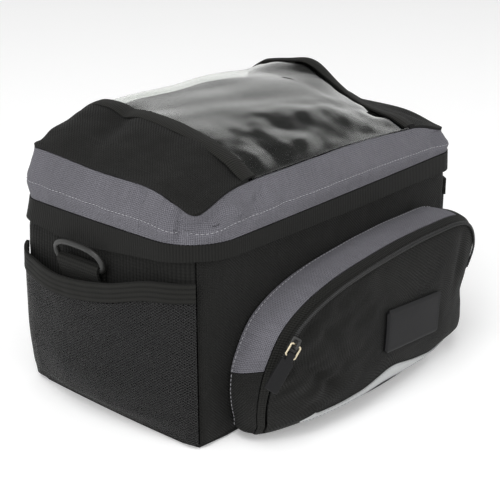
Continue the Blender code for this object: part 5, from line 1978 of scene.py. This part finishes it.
@dataclass(frozen=True)
class Studio:
    """The floor, the soft light and the photo's camera."""

    azimuth: float = -48.89
    elevation: float = 21.8
    distance: float = 0.82567
    target: tuple[float, float, float] = (-0.03313, -0.02852, 0.0930)
    lens: float = 86.4
    sensor: float = 36.0
    floor_size: float = 12.0
    floor_colour: tuple[float, float, float] = (0.93, 0.93, 0.93)
    floor_roughness: float = 0.8
    floor_glow: float = 0.20
    world: float = 1.0
    ceiling: tuple[float, float] = (0.52, 0.72)
    dim: float = 0.22
    view: str = "Standard"
    lamps: tuple[Lamp, ...] = (
        Lamp("top softbox", (-0.9, -0.4, 2.2), (1.6, 1.6), 28.0),
        Lamp("left softbox", (-1.5, -0.2, 0.9), (1.2, 1.2), 6.0),
        Lamp("front softbox", (0.3, -1.6, 1.0), (1.4, 1.0), 5.0),
    )

    def build(self, shift: Vector) -> None:
        """Builds the studio round the bag.

        Args:
            shift: Where the part's own frame lies in the row's.
        """
        scene = bpy.context.scene
        bm = bmesh.new()
        bmesh.ops.create_grid(bm, x_segments=1, y_segments=1, size=self.floor_size / 2.0)
        pale = Finish("pale floor", self.floor_colour, self.floor_roughness)
        pale.set("Specular IOR Level", 0.2)
        pale.set("Emission Color", (1.0, 1.0, 1.0, 1.0))
        pale.set("Emission Strength", self.floor_glow)
        floor = bmesh_object("floor", bm, pale.material)
        floor.location.z = -0.0002
        world = bpy.data.worlds.new("studio")
        world.use_nodes = True
        nodes, links = world.node_tree.nodes, world.node_tree.links
        background = nodes["Background"]
        background.inputs["Color"].default_value = (1.0, 1.0, 1.0, 1.0)
        direction = nodes.new("ShaderNodeTexCoord")
        split = nodes.new("ShaderNodeSeparateXYZ")
        links.new(direction.outputs["Generated"], split.inputs[0])
        ceiling = nodes.new("ShaderNodeMapRange")
        ceiling.interpolation_type = "SMOOTHSTEP"
        names = ("From Min", "From Max", "To Min", "To Max")
        for name, value in zip(names, (*self.ceiling, self.world, self.dim)):
            ceiling.inputs[name].default_value = value
        links.new(split.outputs["Z"], ceiling.inputs["Value"])
        links.new(ceiling.outputs[0], background.inputs["Strength"])
        scene.world = world
        scene.view_settings.view_transform = self.view
        aim = Vector(self.target) + shift
        for lamp in self.lamps:
            lamp.build(aim)
        azimuth, elevation = math.radians(self.azimuth), math.radians(self.elevation)
        back = Vector(
            (
                math.sin(azimuth) * math.cos(elevation),
                -math.cos(azimuth) * math.cos(elevation),
                math.sin(elevation),
            )
        )
        data = bpy.data.cameras.new("photo camera")
        data.lens = self.lens
        data.sensor_width = self.sensor
        camera = bpy.data.objects.new("photo camera", data)
        camera.location = aim + back * self.distance
        camera.rotation_euler = back.to_track_quat("Z", "Y").to_euler()
        scene.collection.objects.link(camera)
        scene.camera = camera


def main() -> None:
    """Builds every sub-assembly, the studio and the camera."""
    logging.basicConfig(level=logging.INFO, format="%(name)s: %(message)s")
    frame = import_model()
    low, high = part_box("base_panel")
    shift = Vector(((low[0] + high[0]) / 2.0, (low[1] + high[1]) / 2.0, 0.0))
    shop = Workshop(Palette(), shift)
    body = BodyShape()
    Body(shop, body).build()
    Lid(shop, LidShape(body)).build()
    SidePockets(shop, body).build()
    FrontPocket(shop, PocketShape(body)).build()
    Mount().dress(frame, shop.palette)
    Studio().build(shift)
    LOG.info("%d pieces", len(shop.made))


if __name__ == "__main__":
    main()
